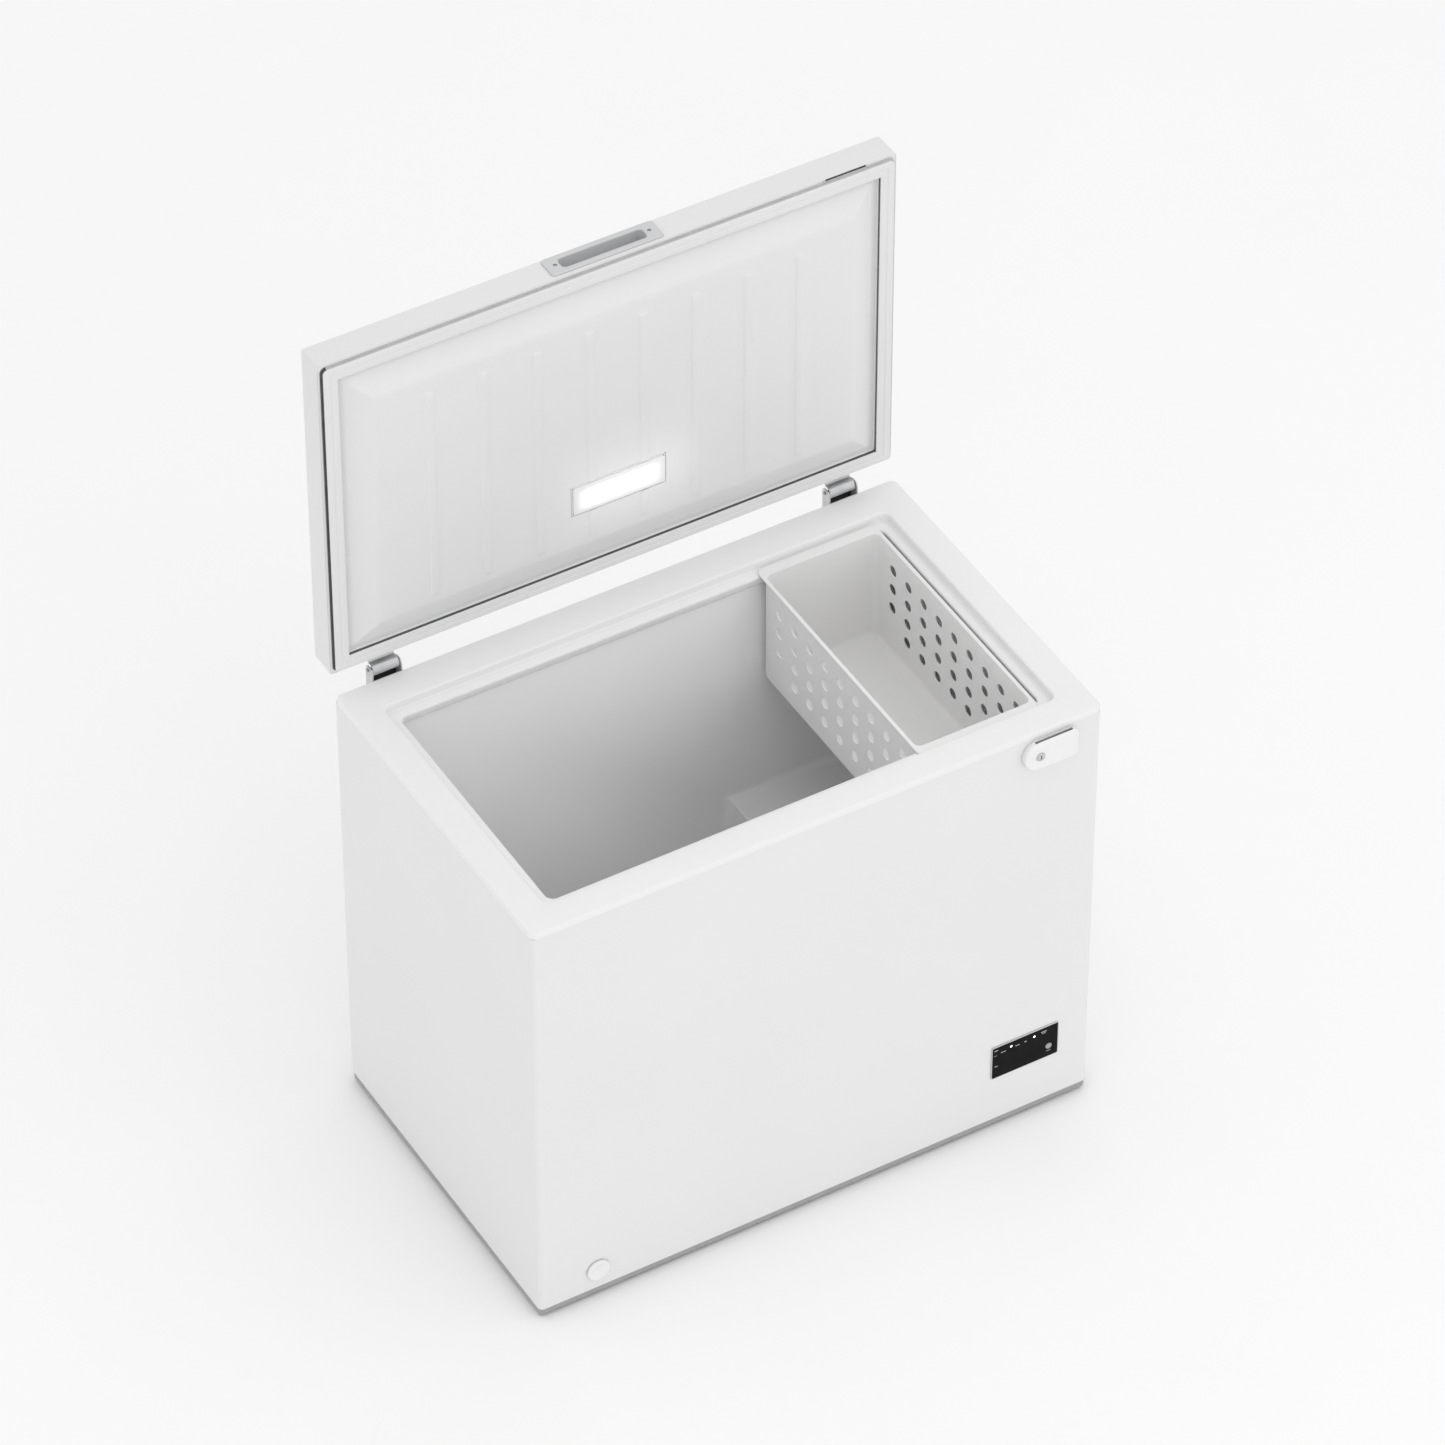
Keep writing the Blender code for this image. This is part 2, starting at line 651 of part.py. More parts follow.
# ---- compressor bay ----
def make_compressor():
    x, y = COMPRESSOR_X, COMPRESSOR_Y
    box(
        "compressor_plate", (x - 0.095, y - 0.085, PLATE_Z), (x + 0.095, y + 0.085, PLATE_Z + PLATE_THICK),
        CABINET, "zinc_steel", radius=0.012,
    )
    low, high = PAN_TOP + GAP, PLATE_Z - GAP
    places = [(x + a * GROMMET_X, y + b * GROMMET_Y) for a in (-1, 1) for b in (-1, 1)]
    for number, (px, py) in enumerate(places):
        cylinder(
            f"compressor_grommet_{number + 1}", (px, py, (low + high) / 2), GROMMET_RADIUS, high - low,
            "Z", CABINET, "black_rubber", 16,
        )
    foot = PLATE_Z + PLATE_THICK + GAP
    profile = [(0.0, 0.150), (0.030, 0.147), (0.055, 0.136), (0.070, 0.116), (0.074, 0.092)]
    profile += [(0.078, 0.090), (0.078, 0.084), (0.074, 0.082), (0.072, 0.040), (0.060, 0.012)]
    profile += [(0.040, 0.0), (0.0, 0.0)]
    turned("compressor", (x, y, foot), profile, CABINET, "black_enamel")
    box(
        "start_relay", (x + 0.0785, y - 0.025, 0.085), (x + 0.112, y + 0.025, 0.150), CABINET,
        "dark_plastic", radius=0.004,
    )
    turned(
        "filter_drier", (DRIER_X, DRIER_Y, DRIER_Z),
        [(0.0, 0.070), (0.004, 0.070), (0.010, 0.060), (0.010, 0.010), (0.004, 0.0), (0.0, 0.0)],
        CABINET, "copper", 16,
    )
    suction = [(x - 0.030, y, foot + 0.150), (x - 0.045, y, foot + 0.200)]
    suction += [(x - 0.060, y - 0.060, 0.262), (0.215, -0.100, 0.270)]
    tube("suction_line", smooth_path(suction, 4), PIPE_RADIUS, CABINET, "copper")
    discharge = [(x + 0.020, y + 0.035, foot + 0.152), (x + 0.010, y + 0.060, 0.225)]
    discharge += [(0.300, 0.160, 0.240), (DRIER_X + 0.010, DRIER_Y, 0.235), (DRIER_X, DRIER_Y, 0.215)]
    discharge += [(DRIER_X, DRIER_Y, DRIER_Z + 0.0705)]
    tube("discharge_line", smooth_path(discharge, 4), PIPE_RADIUS, CABINET, "copper")


def make_cord_gland():
    at = (GLAND_X, SHELL_BACK + COVER_SHEET + GAP + GLAND_LENGTH / 2, GLAND_Z)
    gland = cylinder("cord_gland", at, GLAND_RADIUS, GLAND_LENGTH, "Y", CABINET, "black_rubber", 20)
    bore = cylinder("gland_bore", at, CORD_HOLE, GLAND_LENGTH + 2 * CLEAR, "Y", CABINET, segments=12)
    cut(gland, bore)


# ---- control panel ----
def make_controls():
    half_w, half_h = PANEL_WIDTH / 2, PANEL_HEIGHT / 2
    face_back = SHELL_FRONT - GAP
    bezel = box(
        "control_bezel", (PANEL_X - half_w, PANEL_FACE, PANEL_Z - half_h),
        (PANEL_X + half_w, face_back, PANEL_Z + half_h), CABINET, "grey_plastic", 0.0025, "Y",
    )
    body_x, body_z = half_w - 0.0035, half_h - 0.0035
    body_back = SHELL_FRONT + PANEL_DEEP
    body = box(
        "bezel_body", (PANEL_X - body_x, face_back - 0.001, PANEL_Z - body_z),
        (PANEL_X + body_x, body_back, PANEL_Z + body_z), CABINET,
    )
    wall = 0.002
    inside = box(
        "bezel_inside", (PANEL_X - body_x + wall, PANEL_FACE - 0.01, PANEL_Z - body_z + wall),
        (PANEL_X + body_x - wall, body_back + 0.01, PANEL_Z + body_z - wall), CABINET,
    )
    rim = 0.0012
    seat = box(
        "window_seat", (PANEL_X - half_w + rim, PANEL_FACE - 0.01, PANEL_Z - half_h + rim),
        (PANEL_X + half_w - rim, PANEL_FACE + 0.0011, PANEL_Z + half_h - rim), CABINET, None, 0.002, "Y",
    )
    cut(join(bezel, body), inside, seat)
    edge = rim + GAP
    window = box(
        "display_window", (PANEL_X - half_w + edge, PANEL_FACE - 0.0003, PANEL_Z - half_h + edge),
        (PANEL_X + half_w - edge, PANEL_FACE + 0.0008, PANEL_Z + half_h - edge), CABINET, "black_gloss",
        0.002, "Y",
    )
    for name, (x, z) in LIGHTS.items():
        hole = cylinder(name + "_hole", (x, PANEL_FACE, z), 0.0023, 0.01, "Y", CABINET, segments=12)
        cut(window, hole)
        cylinder(name, (x, PANEL_FACE + 0.003, z), 0.0020, 0.0066, "Y", CABINET, "light_guide", 12)
    at = (BUTTON_X, PANEL_FACE, BUTTON_Z)
    cut(window, cylinder("button_hole", at, BUTTON_RADIUS + GAP, 0.01, "Y", CABINET))
    press = holder("set_button_press", at, CABINET)
    cylinder(
        "set_button", (BUTTON_X, PANEL_FACE + 0.0020, BUTTON_Z), BUTTON_RADIUS, 0.0064, "Y",
        press, "grey_plastic",
    )
    box(
        "control_board", (PANEL_X - body_x + 0.004, PANEL_FACE + 0.0085, PANEL_Z - body_z + 0.004),
        (PANEL_X + body_x - 0.004, PANEL_FACE + 0.0100, PANEL_Z + body_z - 0.004), CABINET, "board_green",
    )


# ---- lock ----
def make_lock():
    centre = (LOCK_X, LOCK_Z)
    top = LOCK_Z + HOUSING_RADIUS
    bottom = LOCK_Z - HOUSING_RADIUS
    corner = 0.010
    outline = arc(centre, HOUSING_RADIUS, 90, 270, 17)
    outline += arc((HOUSING_RIGHT - corner, bottom + corner), corner, 270, 360, 5)
    outline += arc((HOUSING_RIGHT - corner, top - corner), corner, 0, 90, 5)
    housing = as_mesh(
        upright_plate("lock_housing", outline, LOCK_FACE, SHELL_FRONT - GAP, CABINET, "white_plastic")
    )
    sweep_front, sweep_back = HOOK_FRONT - 0.0015, HOOK_BACK + 0.0015
    cavity = box(
        "hook_cavity", (LOCK_X - 0.012, sweep_front, LOCK_Z - 0.012),
        (HOUSING_RIGHT - 0.003, 0.0, top - 0.003), CABINET,
    )
    slot = box(
        "hook_slot", (LOCK_X - 0.0065, sweep_front, LOCK_Z),
        (LOCK_X + SLOT_RIGHT, sweep_back, top + CLEAR), CABINET,
    )
    bore = cylinder(
        "cylinder_bore", (LOCK_X, LOCK_FACE, LOCK_Z), CYLINDER_RADIUS + GAP, 0.02, "Y", CABINET
    )
    cut(housing, cavity, slot, bore)
    turn = holder("lock_turn", (LOCK_X, HOOK_FRONT, LOCK_Z), CABINET)
    front = LOCK_FACE - 0.0025
    back = HOOK_FRONT - GAP
    barrel = cylinder(
        "lock_cylinder", (LOCK_X, (front + back) / 2, LOCK_Z), CYLINDER_RADIUS, back - front, "Y", turn,
        "zinc_steel",
    )
    keyhole = box(
        "keyhole", (LOCK_X - 0.0009, front - CLEAR, LOCK_Z - 0.004),
        (LOCK_X + 0.0009, front + 0.004, LOCK_Z + 0.004), turn,
    )
    cut(barrel, keyhole)
    # at rest the hook points to the right; turned a quarter it stands up into the lid
    hub, half_arm = 0.008, 0.004
    meet = math.degrees(math.asin(half_arm / hub))
    tip = math.degrees(math.asin(half_arm / HOOK_REACH))
    nub = math.degrees(HOOK_NUB)
    inner_tip = math.degrees(math.asin(half_arm / HOOK_INNER))
    hook = arc(centre, hub, meet, 360 - meet, 15)
    hook += arc(centre, HOOK_REACH, -tip, nub, 6)
    hook += arc(centre, HOOK_INNER, nub, inner_tip, 4)
    upright_plate("lock_hook", hook, HOOK_FRONT, HOOK_BACK, turn, "zinc_steel")


# ---- lid, closed ----
def make_lid_cover():
    cover = box(
        "lid_cover", (-HALF_W, LID_FRONT, LID_BOTTOM), (HALF_W, LID_BACK, LID_TOP), LID, "white_steel",
        COVER_RADIUS, "XYZ", 3, open_faces=((0, 0, -1),),
    )
    thicken(cover, COVER_WALL)
    window = box(
        "handle_opening", (-HANDLE_WIDTH / 2 + 0.008, LID_FRONT - 0.01, HANDLE_LOW + 0.003),
        (HANDLE_WIDTH / 2 - 0.008, LID_FRONT + 0.01, HANDLE_HIGH - 0.003), LID,
    )
    cut(cover, window)


def plug_shape(inset, run, drop, low, high):
    """A box, or its underside alone, whose underside is drawn down into the raised panel."""
    size = high - low
    shape = cube_shape(size)
    under = [face for face in shape.faces if face.normal.z < -0.9]
    bmesh.ops.inset_individual(shape, faces=under, thickness=inset, depth=0.0, use_even_offset=True)
    bmesh.ops.inset_individual(shape, faces=under, thickness=run, depth=drop, use_even_offset=True)
    return shape


def round_with(obj, low, high):
    """Round the piece's corners and upper edges to fit inside the lid's cover."""
    form = box(
        obj.name + "_form", low - Vector((0.0, 0.0, 0.05)), high, LID, None, COVER_RADIUS - COVER_WALL, "XYZ"
    )
    combine(obj, [form], "INTERSECT")


def make_lid_liner():
    edge = COVER_WALL + GAP
    low = Vector((-HALF_W + edge, LID_FRONT + edge, LID_BOTTOM))
    high = Vector((HALF_W - edge, LID_BACK - edge, LID_BOTTOM + 0.01))
    shape = plug_shape(PLUG_FOOT - edge, PLUG_RUN, PLUG_DROP, low, high)
    under = min(vertex.co.z for vertex in shape.verts) + PLUG_DROP
    upper = [face for face in shape.faces if face.calc_center_median().z > under + 0.0001]
    bmesh.ops.delete(shape, geom=upper, context="FACES")
    liner = place_mesh("lid_liner", shape, LID, (low + high) / 2, "lid_liner_white")
    thicken(liner, LINER_SHEET)
    round_with(liner, low, high + Vector((0.0, 0.0, 0.02)))
    panel = LID_BOTTOM - PLUG_DROP
    for number in range(RIBS):
        x = (number - (RIBS - 1) / 2) * RIB_PITCH
        rib = box(
            f"liner_rib_{number + 1}", (x - 0.007, -0.195, panel - 0.0015), (x + 0.007, 0.195, panel + 0.001),
            LID, None, 0.006,
        )
        join(liner, rib)
    half_w, half_d = LAMP_SIZE[0] / 2, LAMP_SIZE[1] / 2
    lamp_hole = box(
        "lamp_hole", (-half_w, LAMP_Y - half_d, panel - 0.01), (half_w, LAMP_Y + half_d, panel + 0.01), LID
    )
    hook_slot = box(
        "lid_hook_slot", (LOCK_X - 0.0075, LID_FRONT, LID_BOTTOM - 0.01),
        (LOCK_X + HOOK_REACH + 0.001, -0.2950, LID_BOTTOM + 0.01), LID,
    )
    cut(liner, lamp_hole, hook_slot)


def make_lid_foam():
    edge = COVER_WALL + GAP
    low = Vector((-HALF_W + edge, LID_FRONT + edge, LID_BOTTOM + LINER_SHEET + GAP))
    high = Vector((HALF_W - edge, LID_BACK - edge, LID_TOP - edge))
    inset = PLUG_FOOT - edge + 0.002
    foam = place_mesh(
        "lid_foam", plug_shape(inset, PLUG_RUN, PLUG_DROP, low, high), LID, (low + high) / 2, "foam_cream"
    )
    round_with(foam, low, high)
    pocket = box(
        "foam_handle_pocket", (-HANDLE_WIDTH / 2 + 0.007, LID_FRONT - 0.01, HANDLE_LOW + 0.002),
        (HANDLE_WIDTH / 2 - 0.007, LID_FRONT + POCKET_DEPTH + 0.003, HANDLE_HIGH - 0.002), LID,
    )
    half_w, half_d = LAMP_SIZE[0] / 2, LAMP_SIZE[1] / 2
    panel = LID_BOTTOM - PLUG_DROP
    lamp = box(
        "foam_lamp_pocket", (-half_w, LAMP_Y - half_d, panel - CLEAR),
        (half_w, LAMP_Y + half_d, panel + LAMP_HEIGHT + 0.0005), LID,
    )
    hook = box(
        "foam_hook_pocket", (LOCK_X - 0.030, LID_FRONT - 0.01, LID_BOTTOM - 0.01),
        (LOCK_X + HOOK_REACH + 0.001, -0.2890, LOCK_Z + HOOK_REACH + 0.004), LID,
    )
    cut(foam, pocket, lamp, hook)
    box(
        "strike_plate", (LOCK_X - 0.0295, LID_FRONT + edge, LID_BOTTOM + LINER_SHEET + GAP),
        (LOCK_X - 0.0080, -0.2893, LID_BOTTOM + LINER_SHEET + 0.0015), LID, "zinc_steel",
    )


def make_gasket():
    def ring(name, inset, finish, low, high, radius):
        return box(
            name, (-HALF_W + inset, LID_FRONT + inset, low), (HALF_W - inset, LID_BACK - inset, high), LID,
            finish, radius, segments=4,
        )

    top = LID_BOTTOM - GAP
    gasket = ring("lid_gasket", GASKET_IN, "gasket_white", top - GASKET_HEIGHT, top, 0.010)
    cut(gasket, ring("gasket_inside", GASKET_IN + GASKET_WIDTH, None, top - 0.02, top + 0.01, 0.004))


def make_handle():
    face = LID_FRONT - 0.0028
    back = LID_FRONT + POCKET_DEPTH
    half = HANDLE_WIDTH / 2
    handle = box(
        "handle", (-half, face, HANDLE_LOW), (half, LID_FRONT - GAP, HANDLE_HIGH),
        LID, "silver_plastic", 0.005, "Y",
    )
    body = box(
        "handle_body", (-half + 0.0085, LID_FRONT - 0.001, HANDLE_LOW + 0.0035),
        (half - 0.0085, back, HANDLE_HIGH - 0.0035), LID,
    )
    pocket = box(
        "finger_pocket", (-POCKET_WIDTH / 2, face - CLEAR, POCKET_LOW),
        (POCKET_WIDTH / 2, back - 0.002, POCKET_HIGH), LID, None, 0.006, "Y",
    )
    cut(join(handle, body), pocket)
    # one screw at each end of the pocket fixes the handle to the lid
    z = (HANDLE_LOW + HANDLE_HIGH) / 2
    for side, x in (("left", -SCREW_X), ("right", SCREW_X)):
        hole = cylinder(f"screw_hole_{side}", (x, face, z), 0.0033, 0.05, "Y", LID, segments=12)
        cut(handle, hole)
        cylinder(f"handle_screw_{side}", (x, face + 0.010, z), 0.0030, 0.018, "Y", LID, "zinc_steel", 12)


def make_lamp():
    half_w, half_d = LAMP_SIZE[0] / 2 - GAP, LAMP_SIZE[1] / 2 - GAP
    panel = LID_BOTTOM - PLUG_DROP
    top = panel + LAMP_HEIGHT
    housing = box(
        "lamp_housing", (-half_w, LAMP_Y - half_d, panel), (half_w, LAMP_Y + half_d, top),
        LID, "white_plastic",
    )
    wall = 0.002
    inside = box(
        "lamp_inside", (-half_w + wall, LAMP_Y - half_d + wall, panel - 0.01),
        (half_w - wall, LAMP_Y + half_d - wall, top - wall), LID,
    )
    cut(housing, inside)
    edge = wall + 0.004
    box(
        "lamp_board", (-half_w + edge, LAMP_Y - 0.012, top - wall - 0.0018),
        (half_w - edge, LAMP_Y + 0.012, top - wall - GAP), LID, "board_green",
    )
    edge = wall + GAP
    box(
        "lamp_lens", (-half_w + edge, LAMP_Y - half_d + edge, panel - 0.0025),
        (half_w - edge, LAMP_Y + half_d - edge, panel + 0.0010), LID, "lamp_lens", 0.003,
    )


# ---- hinges ----
def spring_path(x_from, x_to, radius, turns, per_turn=8):
    count = turns * per_turn
    path = []
    for i in range(count + 1):
        angle = math.tau * i / per_turn
        x = x_from + (x_to - x_from) * i / count
        path.append((x, HINGE_Y + radius * math.cos(angle), HINGE_Z + radius * math.sin(angle)))
    return path


def make_hinge(side, x):
    half = HINGE_WIDTH / 2
    plate = 0.002
    near = HALF_D + GAP
    base = box(
        f"hinge_base_{side}", (x - half, near, 0.690), (x + half, near + plate, 0.790), CABINET, "zinc_steel"
    )
    for hand in (-1, 1):
        edge = x + hand * half
        cheek = box(
            f"cheek_{side}_{hand}", (min(edge, edge - hand * plate), near, 0.745),
            (max(edge, edge - hand * plate), HINGE_Y + 0.0075, HINGE_Z + 0.0075), CABINET, None, 0.007, "X",
        )
        join(base, cheek)
    pin_hole = cylinder(f"pin_hole_{side}", (x, HINGE_Y, HINGE_Z), PIN_RADIUS + 0.0001, 0.08, "X", CABINET)
    cut(base, pin_hole)
    cylinder(
        f"hinge_pin_{side}", (x, HINGE_Y, HINGE_Z), PIN_RADIUS, HINGE_WIDTH + 0.004, "X",
        CABINET, "spring_steel",
    )
    # the arm is closed up against the back edge of the lid
    arm_left, arm_right = x - half + 0.0035, x + 0.004
    wide_left, wide_right = x - half + 0.0035, x + half - 0.0035
    lid_side = LID_BACK + GAP
    arm = box(
        f"hinge_arm_{side}", (wide_left, lid_side, LID_BOTTOM + 0.002),
        (wide_right, lid_side + plate, LID_TOP - 0.004), LID, "zinc_steel",
    )
    web = box(
        f"arm_web_{side}", (arm_left, lid_side, LID_BOTTOM + 0.002),
        (arm_right, HINGE_Y, LID_BOTTOM + 0.002 + plate), LID,
    )
    knuckle = cylinder(
        f"knuckle_{side}", ((arm_left + arm_right) / 2, HINGE_Y, HINGE_Z), KNUCKLE_RADIUS,
        arm_right - arm_left, "X", LID,
    )
    bore = cylinder(
        f"knuckle_bore_{side}", (x, HINGE_Y, HINGE_Z), PIN_RADIUS + 0.0002, 0.08, "X", LID
    )
    cut(join(arm, web, knuckle), bore)
    tube(
        f"hinge_spring_{side}", spring_path(arm_right + 0.0015, wide_right - 0.001, 0.0046, 5), 0.0008,
        CABINET, "spring_steel",
    )


# ---- basket ----
def make_basket():
    front, back = MOUTH_FRONT + BASKET_END_GAP, MOUTH_BACK - BASKET_END_GAP
    rim_bottom = LEDGE_Z + GAP
    rim_top = rim_bottom + RIM_THICK
    basket = box(
        "basket", (BASKET_LEFT, front, BASKET_BOTTOM), (BASKET_RIGHT, back, rim_top - 0.0002), BASKET,
        "basket_white", BASKET_RADIUS, "Z", 5, open_faces=((0, 0, 1),),
    )
    thicken(basket, BASKET_WALL)
    rim = box(
        "basket_rim", (BASKET_LEFT - RIM_OUT, RIM_FRONT, rim_bottom),
        (BASKET_RIGHT + RIM_OUT, RIM_BACK, rim_top), BASKET, None, BASKET_RADIUS, "Z", 5,
    )
    inside = BASKET_WALL / 2
    rim_hole = box(
        "rim_hole", (BASKET_LEFT + inside, front + inside, rim_bottom - 0.01),
        (BASKET_RIGHT - inside, back - inside, rim_top + 0.01), BASKET, None, BASKET_RADIUS - inside, "Z", 5,
    )
    cut(rim, rim_hole)
    join(basket, rim)
    holes = bmesh.new()
    middle = Vector(((BASKET_LEFT + BASKET_RIGHT) / 2, 0.0, 0.0))
    for row in range(HOLE_ROWS):
        for column in range(HOLE_COLUMNS):
            if row == HOLE_ROWS - 1 and column in (0, HOLE_COLUMNS - 1):
                continue
            y = HOLE_BACK_Y - HOLE_PITCH_Y * column
            z = HOLE_TOP_Z - HOLE_PITCH_Z * row
            made = bmesh.ops.create_cone(
                holes, cap_ends=True, segments=10, radius1=HOLE_RADIUS, radius2=HOLE_RADIUS, depth=0.25
            )
            bmesh.ops.rotate(holes, cent=(0, 0, 0), matrix=AXIS_TURN["X"], verts=made["verts"])
            bmesh.ops.translate(holes, vec=(0, y, z), verts=made["verts"])
    cut(basket, place_mesh("basket_holes", holes, BASKET, middle, None))


clear_scene()
PARTS = new_collection("chest_freezer")
CUTTERS = new_collection("cutters")
MATERIALS = {name: make_material(name) for name in FINISHES}
CABINET = holder("cabinet", (0.0, 0.0, 0.0))
LID = holder("lid_pivot", (0.0, HINGE_Y, HINGE_Z), CABINET, turn=math.radians(-90))
BASKET = holder("basket_slide", (BASKET_LEFT, 0.0, LEDGE_Z), CABINET)

make_shell()
make_back()
make_base()
make_top_frame()
make_liner()
make_foam()
make_drain()
make_compressor()
make_cord_gland()
make_controls()
make_lock()
make_lid_cover()
make_lid_liner()
make_lid_foam()
make_gasket()
make_handle()
make_lamp()
make_hinge("left", -HINGE_X)
make_hinge("right", HINGE_X)
make_basket()
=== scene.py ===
"""Looks of the chest freezer: finishes, and finer pieces in place of the plain CAD solids.

Metres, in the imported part's frame: +Z up, front towards -Y. The lid rests open: its cover and
gasket are laid out closed and swung open about the hinge, the rest is built where it lies.
"""
import json
import math

import bmesh
import bpy
from mathutils import Matrix, Vector

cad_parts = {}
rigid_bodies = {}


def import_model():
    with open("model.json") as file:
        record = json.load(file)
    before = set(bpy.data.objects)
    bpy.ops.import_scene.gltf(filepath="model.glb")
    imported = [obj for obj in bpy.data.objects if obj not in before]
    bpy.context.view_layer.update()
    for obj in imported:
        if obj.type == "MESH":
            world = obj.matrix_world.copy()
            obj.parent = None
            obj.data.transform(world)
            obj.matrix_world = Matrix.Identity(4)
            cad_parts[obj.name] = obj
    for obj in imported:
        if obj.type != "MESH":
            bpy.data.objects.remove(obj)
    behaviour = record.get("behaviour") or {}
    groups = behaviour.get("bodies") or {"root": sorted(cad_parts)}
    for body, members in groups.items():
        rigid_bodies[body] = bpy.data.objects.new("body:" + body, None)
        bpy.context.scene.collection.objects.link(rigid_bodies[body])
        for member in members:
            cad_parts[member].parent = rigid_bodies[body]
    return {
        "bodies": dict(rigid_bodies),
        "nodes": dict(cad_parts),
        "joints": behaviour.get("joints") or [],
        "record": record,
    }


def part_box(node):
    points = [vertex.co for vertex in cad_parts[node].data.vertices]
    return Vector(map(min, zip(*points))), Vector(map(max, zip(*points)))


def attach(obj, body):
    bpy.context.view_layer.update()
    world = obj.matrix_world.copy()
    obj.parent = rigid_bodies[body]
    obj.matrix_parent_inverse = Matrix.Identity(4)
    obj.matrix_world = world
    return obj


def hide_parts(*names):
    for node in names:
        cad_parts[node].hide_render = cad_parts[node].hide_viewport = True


for leftover in list(bpy.data.objects):
    bpy.data.objects.remove(leftover, do_unlink=True)
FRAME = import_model()

# ---- view and light ----
TARGET = Vector((0.0068, -0.023, 0.7463))
AZIMUTH = math.radians(-30.42)
ELEVATION = math.radians(42.68)
DISTANCE = 11.79
LENS = 200.1
SENSOR = 36.0
WORLD_STRENGTH = 0.90
OVERHEAD_WATTS = 38.0
FRONT_WATTS = 17.0
LAMP_WATTS = 0.015

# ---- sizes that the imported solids' boxes do not give ----
WRAP_SHEET = 0.0008         # the cabinet's steel wrap
WRAP_CORNER = 0.008
WRAP_FOLD = 0.012           # its back edges are folded in within this distance
FLAT = 0.050                # the rim's flat top, at the front and sides
FLAT_BACK = 0.058
LEDGE = 0.018               # the ledge inside the rim
LEDGE_DROP = 0.015
TRIM_WALL = 0.003
TRIM_CORNER = 0.012
RIM_CORNER = 0.012          # corners of the mouth and of the basket
STEP_X = 0.150              # the tub's step over the machine bay
STEP_TOP = 0.345
TUB_SHEET = 0.001
TUB_RADIUS = 0.0145
VENT_ROWS = 7               # slots in the bay's cover
VENT_FIRST = 0.085
VENT_PITCH = 0.026
LID_EDGE = 0.0050           # outer rounding of the lid
LID_SHEET = 0.0015
GASKET_IN = 0.007           # from the lid's edge
GASKET_WIDTH = 0.023
GASKET_HEIGHT = 0.0068
PLUG_FOOT = 0.044           # the liner's sloped sides, measured from the lid's edge
PLUG_RUN = 0.036
PLUG_RISE = 0.015
RIBS = 8                    # raised lines down the liner
RIB_PITCH = 0.0882
RIB_ENDS = (-0.203, 0.187)
LOCK_SLOT_X = (0.3595, 0.4280)
LOCK_SLOT_IN = (0.0070, 0.0012)
HANDLE_POCKET = 0.070       # half the length of the handle's pocket
CURL_RADIUS = 0.0105        # the hinge strap's curl
COIL_RADIUS = 0.0046
COIL_TURNS = 5
BRACKET_TOP = 0.790         # of the hinge's plate on the cabinet's back
CHEEK_LOW = 0.745
# heights of the black block that stands for the shade inside the hinge
SHADE_BLOCK_ENDS = (0.762, 0.788)
HOLE_RADIUS = 0.0092        # the basket's holes
HOLE_PITCH = (0.0437, 0.0370)
HOLE_FIRST = (0.1435, 0.7385)
HOLE_COLUMNS = 9
HOLE_ROWS = 4

# ---- settings of the modelling ----
MERGE = 0.00001             # points nearer than this are joined
SHARP_ANGLE = 32
NOISE_MIDDLE = (0.3, 0.7)   # where most of a noise's values lie
# occlusion values over which the painted crease shade fades in
CREASE_SHADE_RANGE = (0.15, 0.85)
COAT_ROUGHNESS = 0.12


# ---- finishes ----
def socket(node, name, value):
    node.inputs[name].default_value = value


def wire(tree, source, output, target, name):
    tree.links.new(source.outputs[output], target.inputs[name])


def noise(tree, coords, scale, detail, stretch=(1.0, 1.0, 1.0)):
    mapping = tree.nodes.new("ShaderNodeMapping")
    socket(mapping, "Scale", stretch)
    wire(tree, coords, "Object", mapping, "Vector")
    texture = tree.nodes.new("ShaderNodeTexNoise")
    socket(texture, "Scale", scale)
    socket(texture, "Detail", detail)
    wire(tree, mapping, "Vector", texture, "Vector")
    return texture


def remapped(tree, source, output, before, after):
    """A node's value moved from one range to another."""
    remap = tree.nodes.new("ShaderNodeMapRange")
    for name, value in zip(("From Min", "From Max", "To Min", "To Max"), (*before, *after)):
        socket(remap, name, value)
    wire(tree, source, output, remap, "Value")
    return remap


def multiplier(tree):
    """A node that multiplies the colours A and B."""
    node = tree.nodes.new("ShaderNodeMix")
    node.data_type = "RGBA"
    node.blend_type = "MULTIPLY"
    socket(node, "Factor", 1.0)
    return node


def faded(tree, coords, colour, fade):
    """The colour falling off to black towards the piece's own ends."""
    parts = tree.nodes.new("ShaderNodeSeparateXYZ")
    wire(tree, coords, "Generated", parts, "Vector")
    product = multiplier(tree)
    white = (1.0, 1.0, 1.0)
    for axis, side, reach, full in (("X", "A", fade[0], colour), ("Z", "B", fade[1], white)):
        ramp = tree.nodes.new("ShaderNodeValToRGB")
        ramp.color_ramp.interpolation = "EASE"
        for element, place in zip(ramp.color_ramp.elements, (0.0, 1.0)):
            element.position = place
            element.color = (0.0, 0.0, 0.0, 1.0)
        for place in (reach, 1.0 - reach):
            ramp.color_ramp.elements.new(place).color = (*full, 1.0)
        wire(tree, parts, axis, ramp, "Fac")
        wire(tree, ramp, "Color", product, side)
    return product


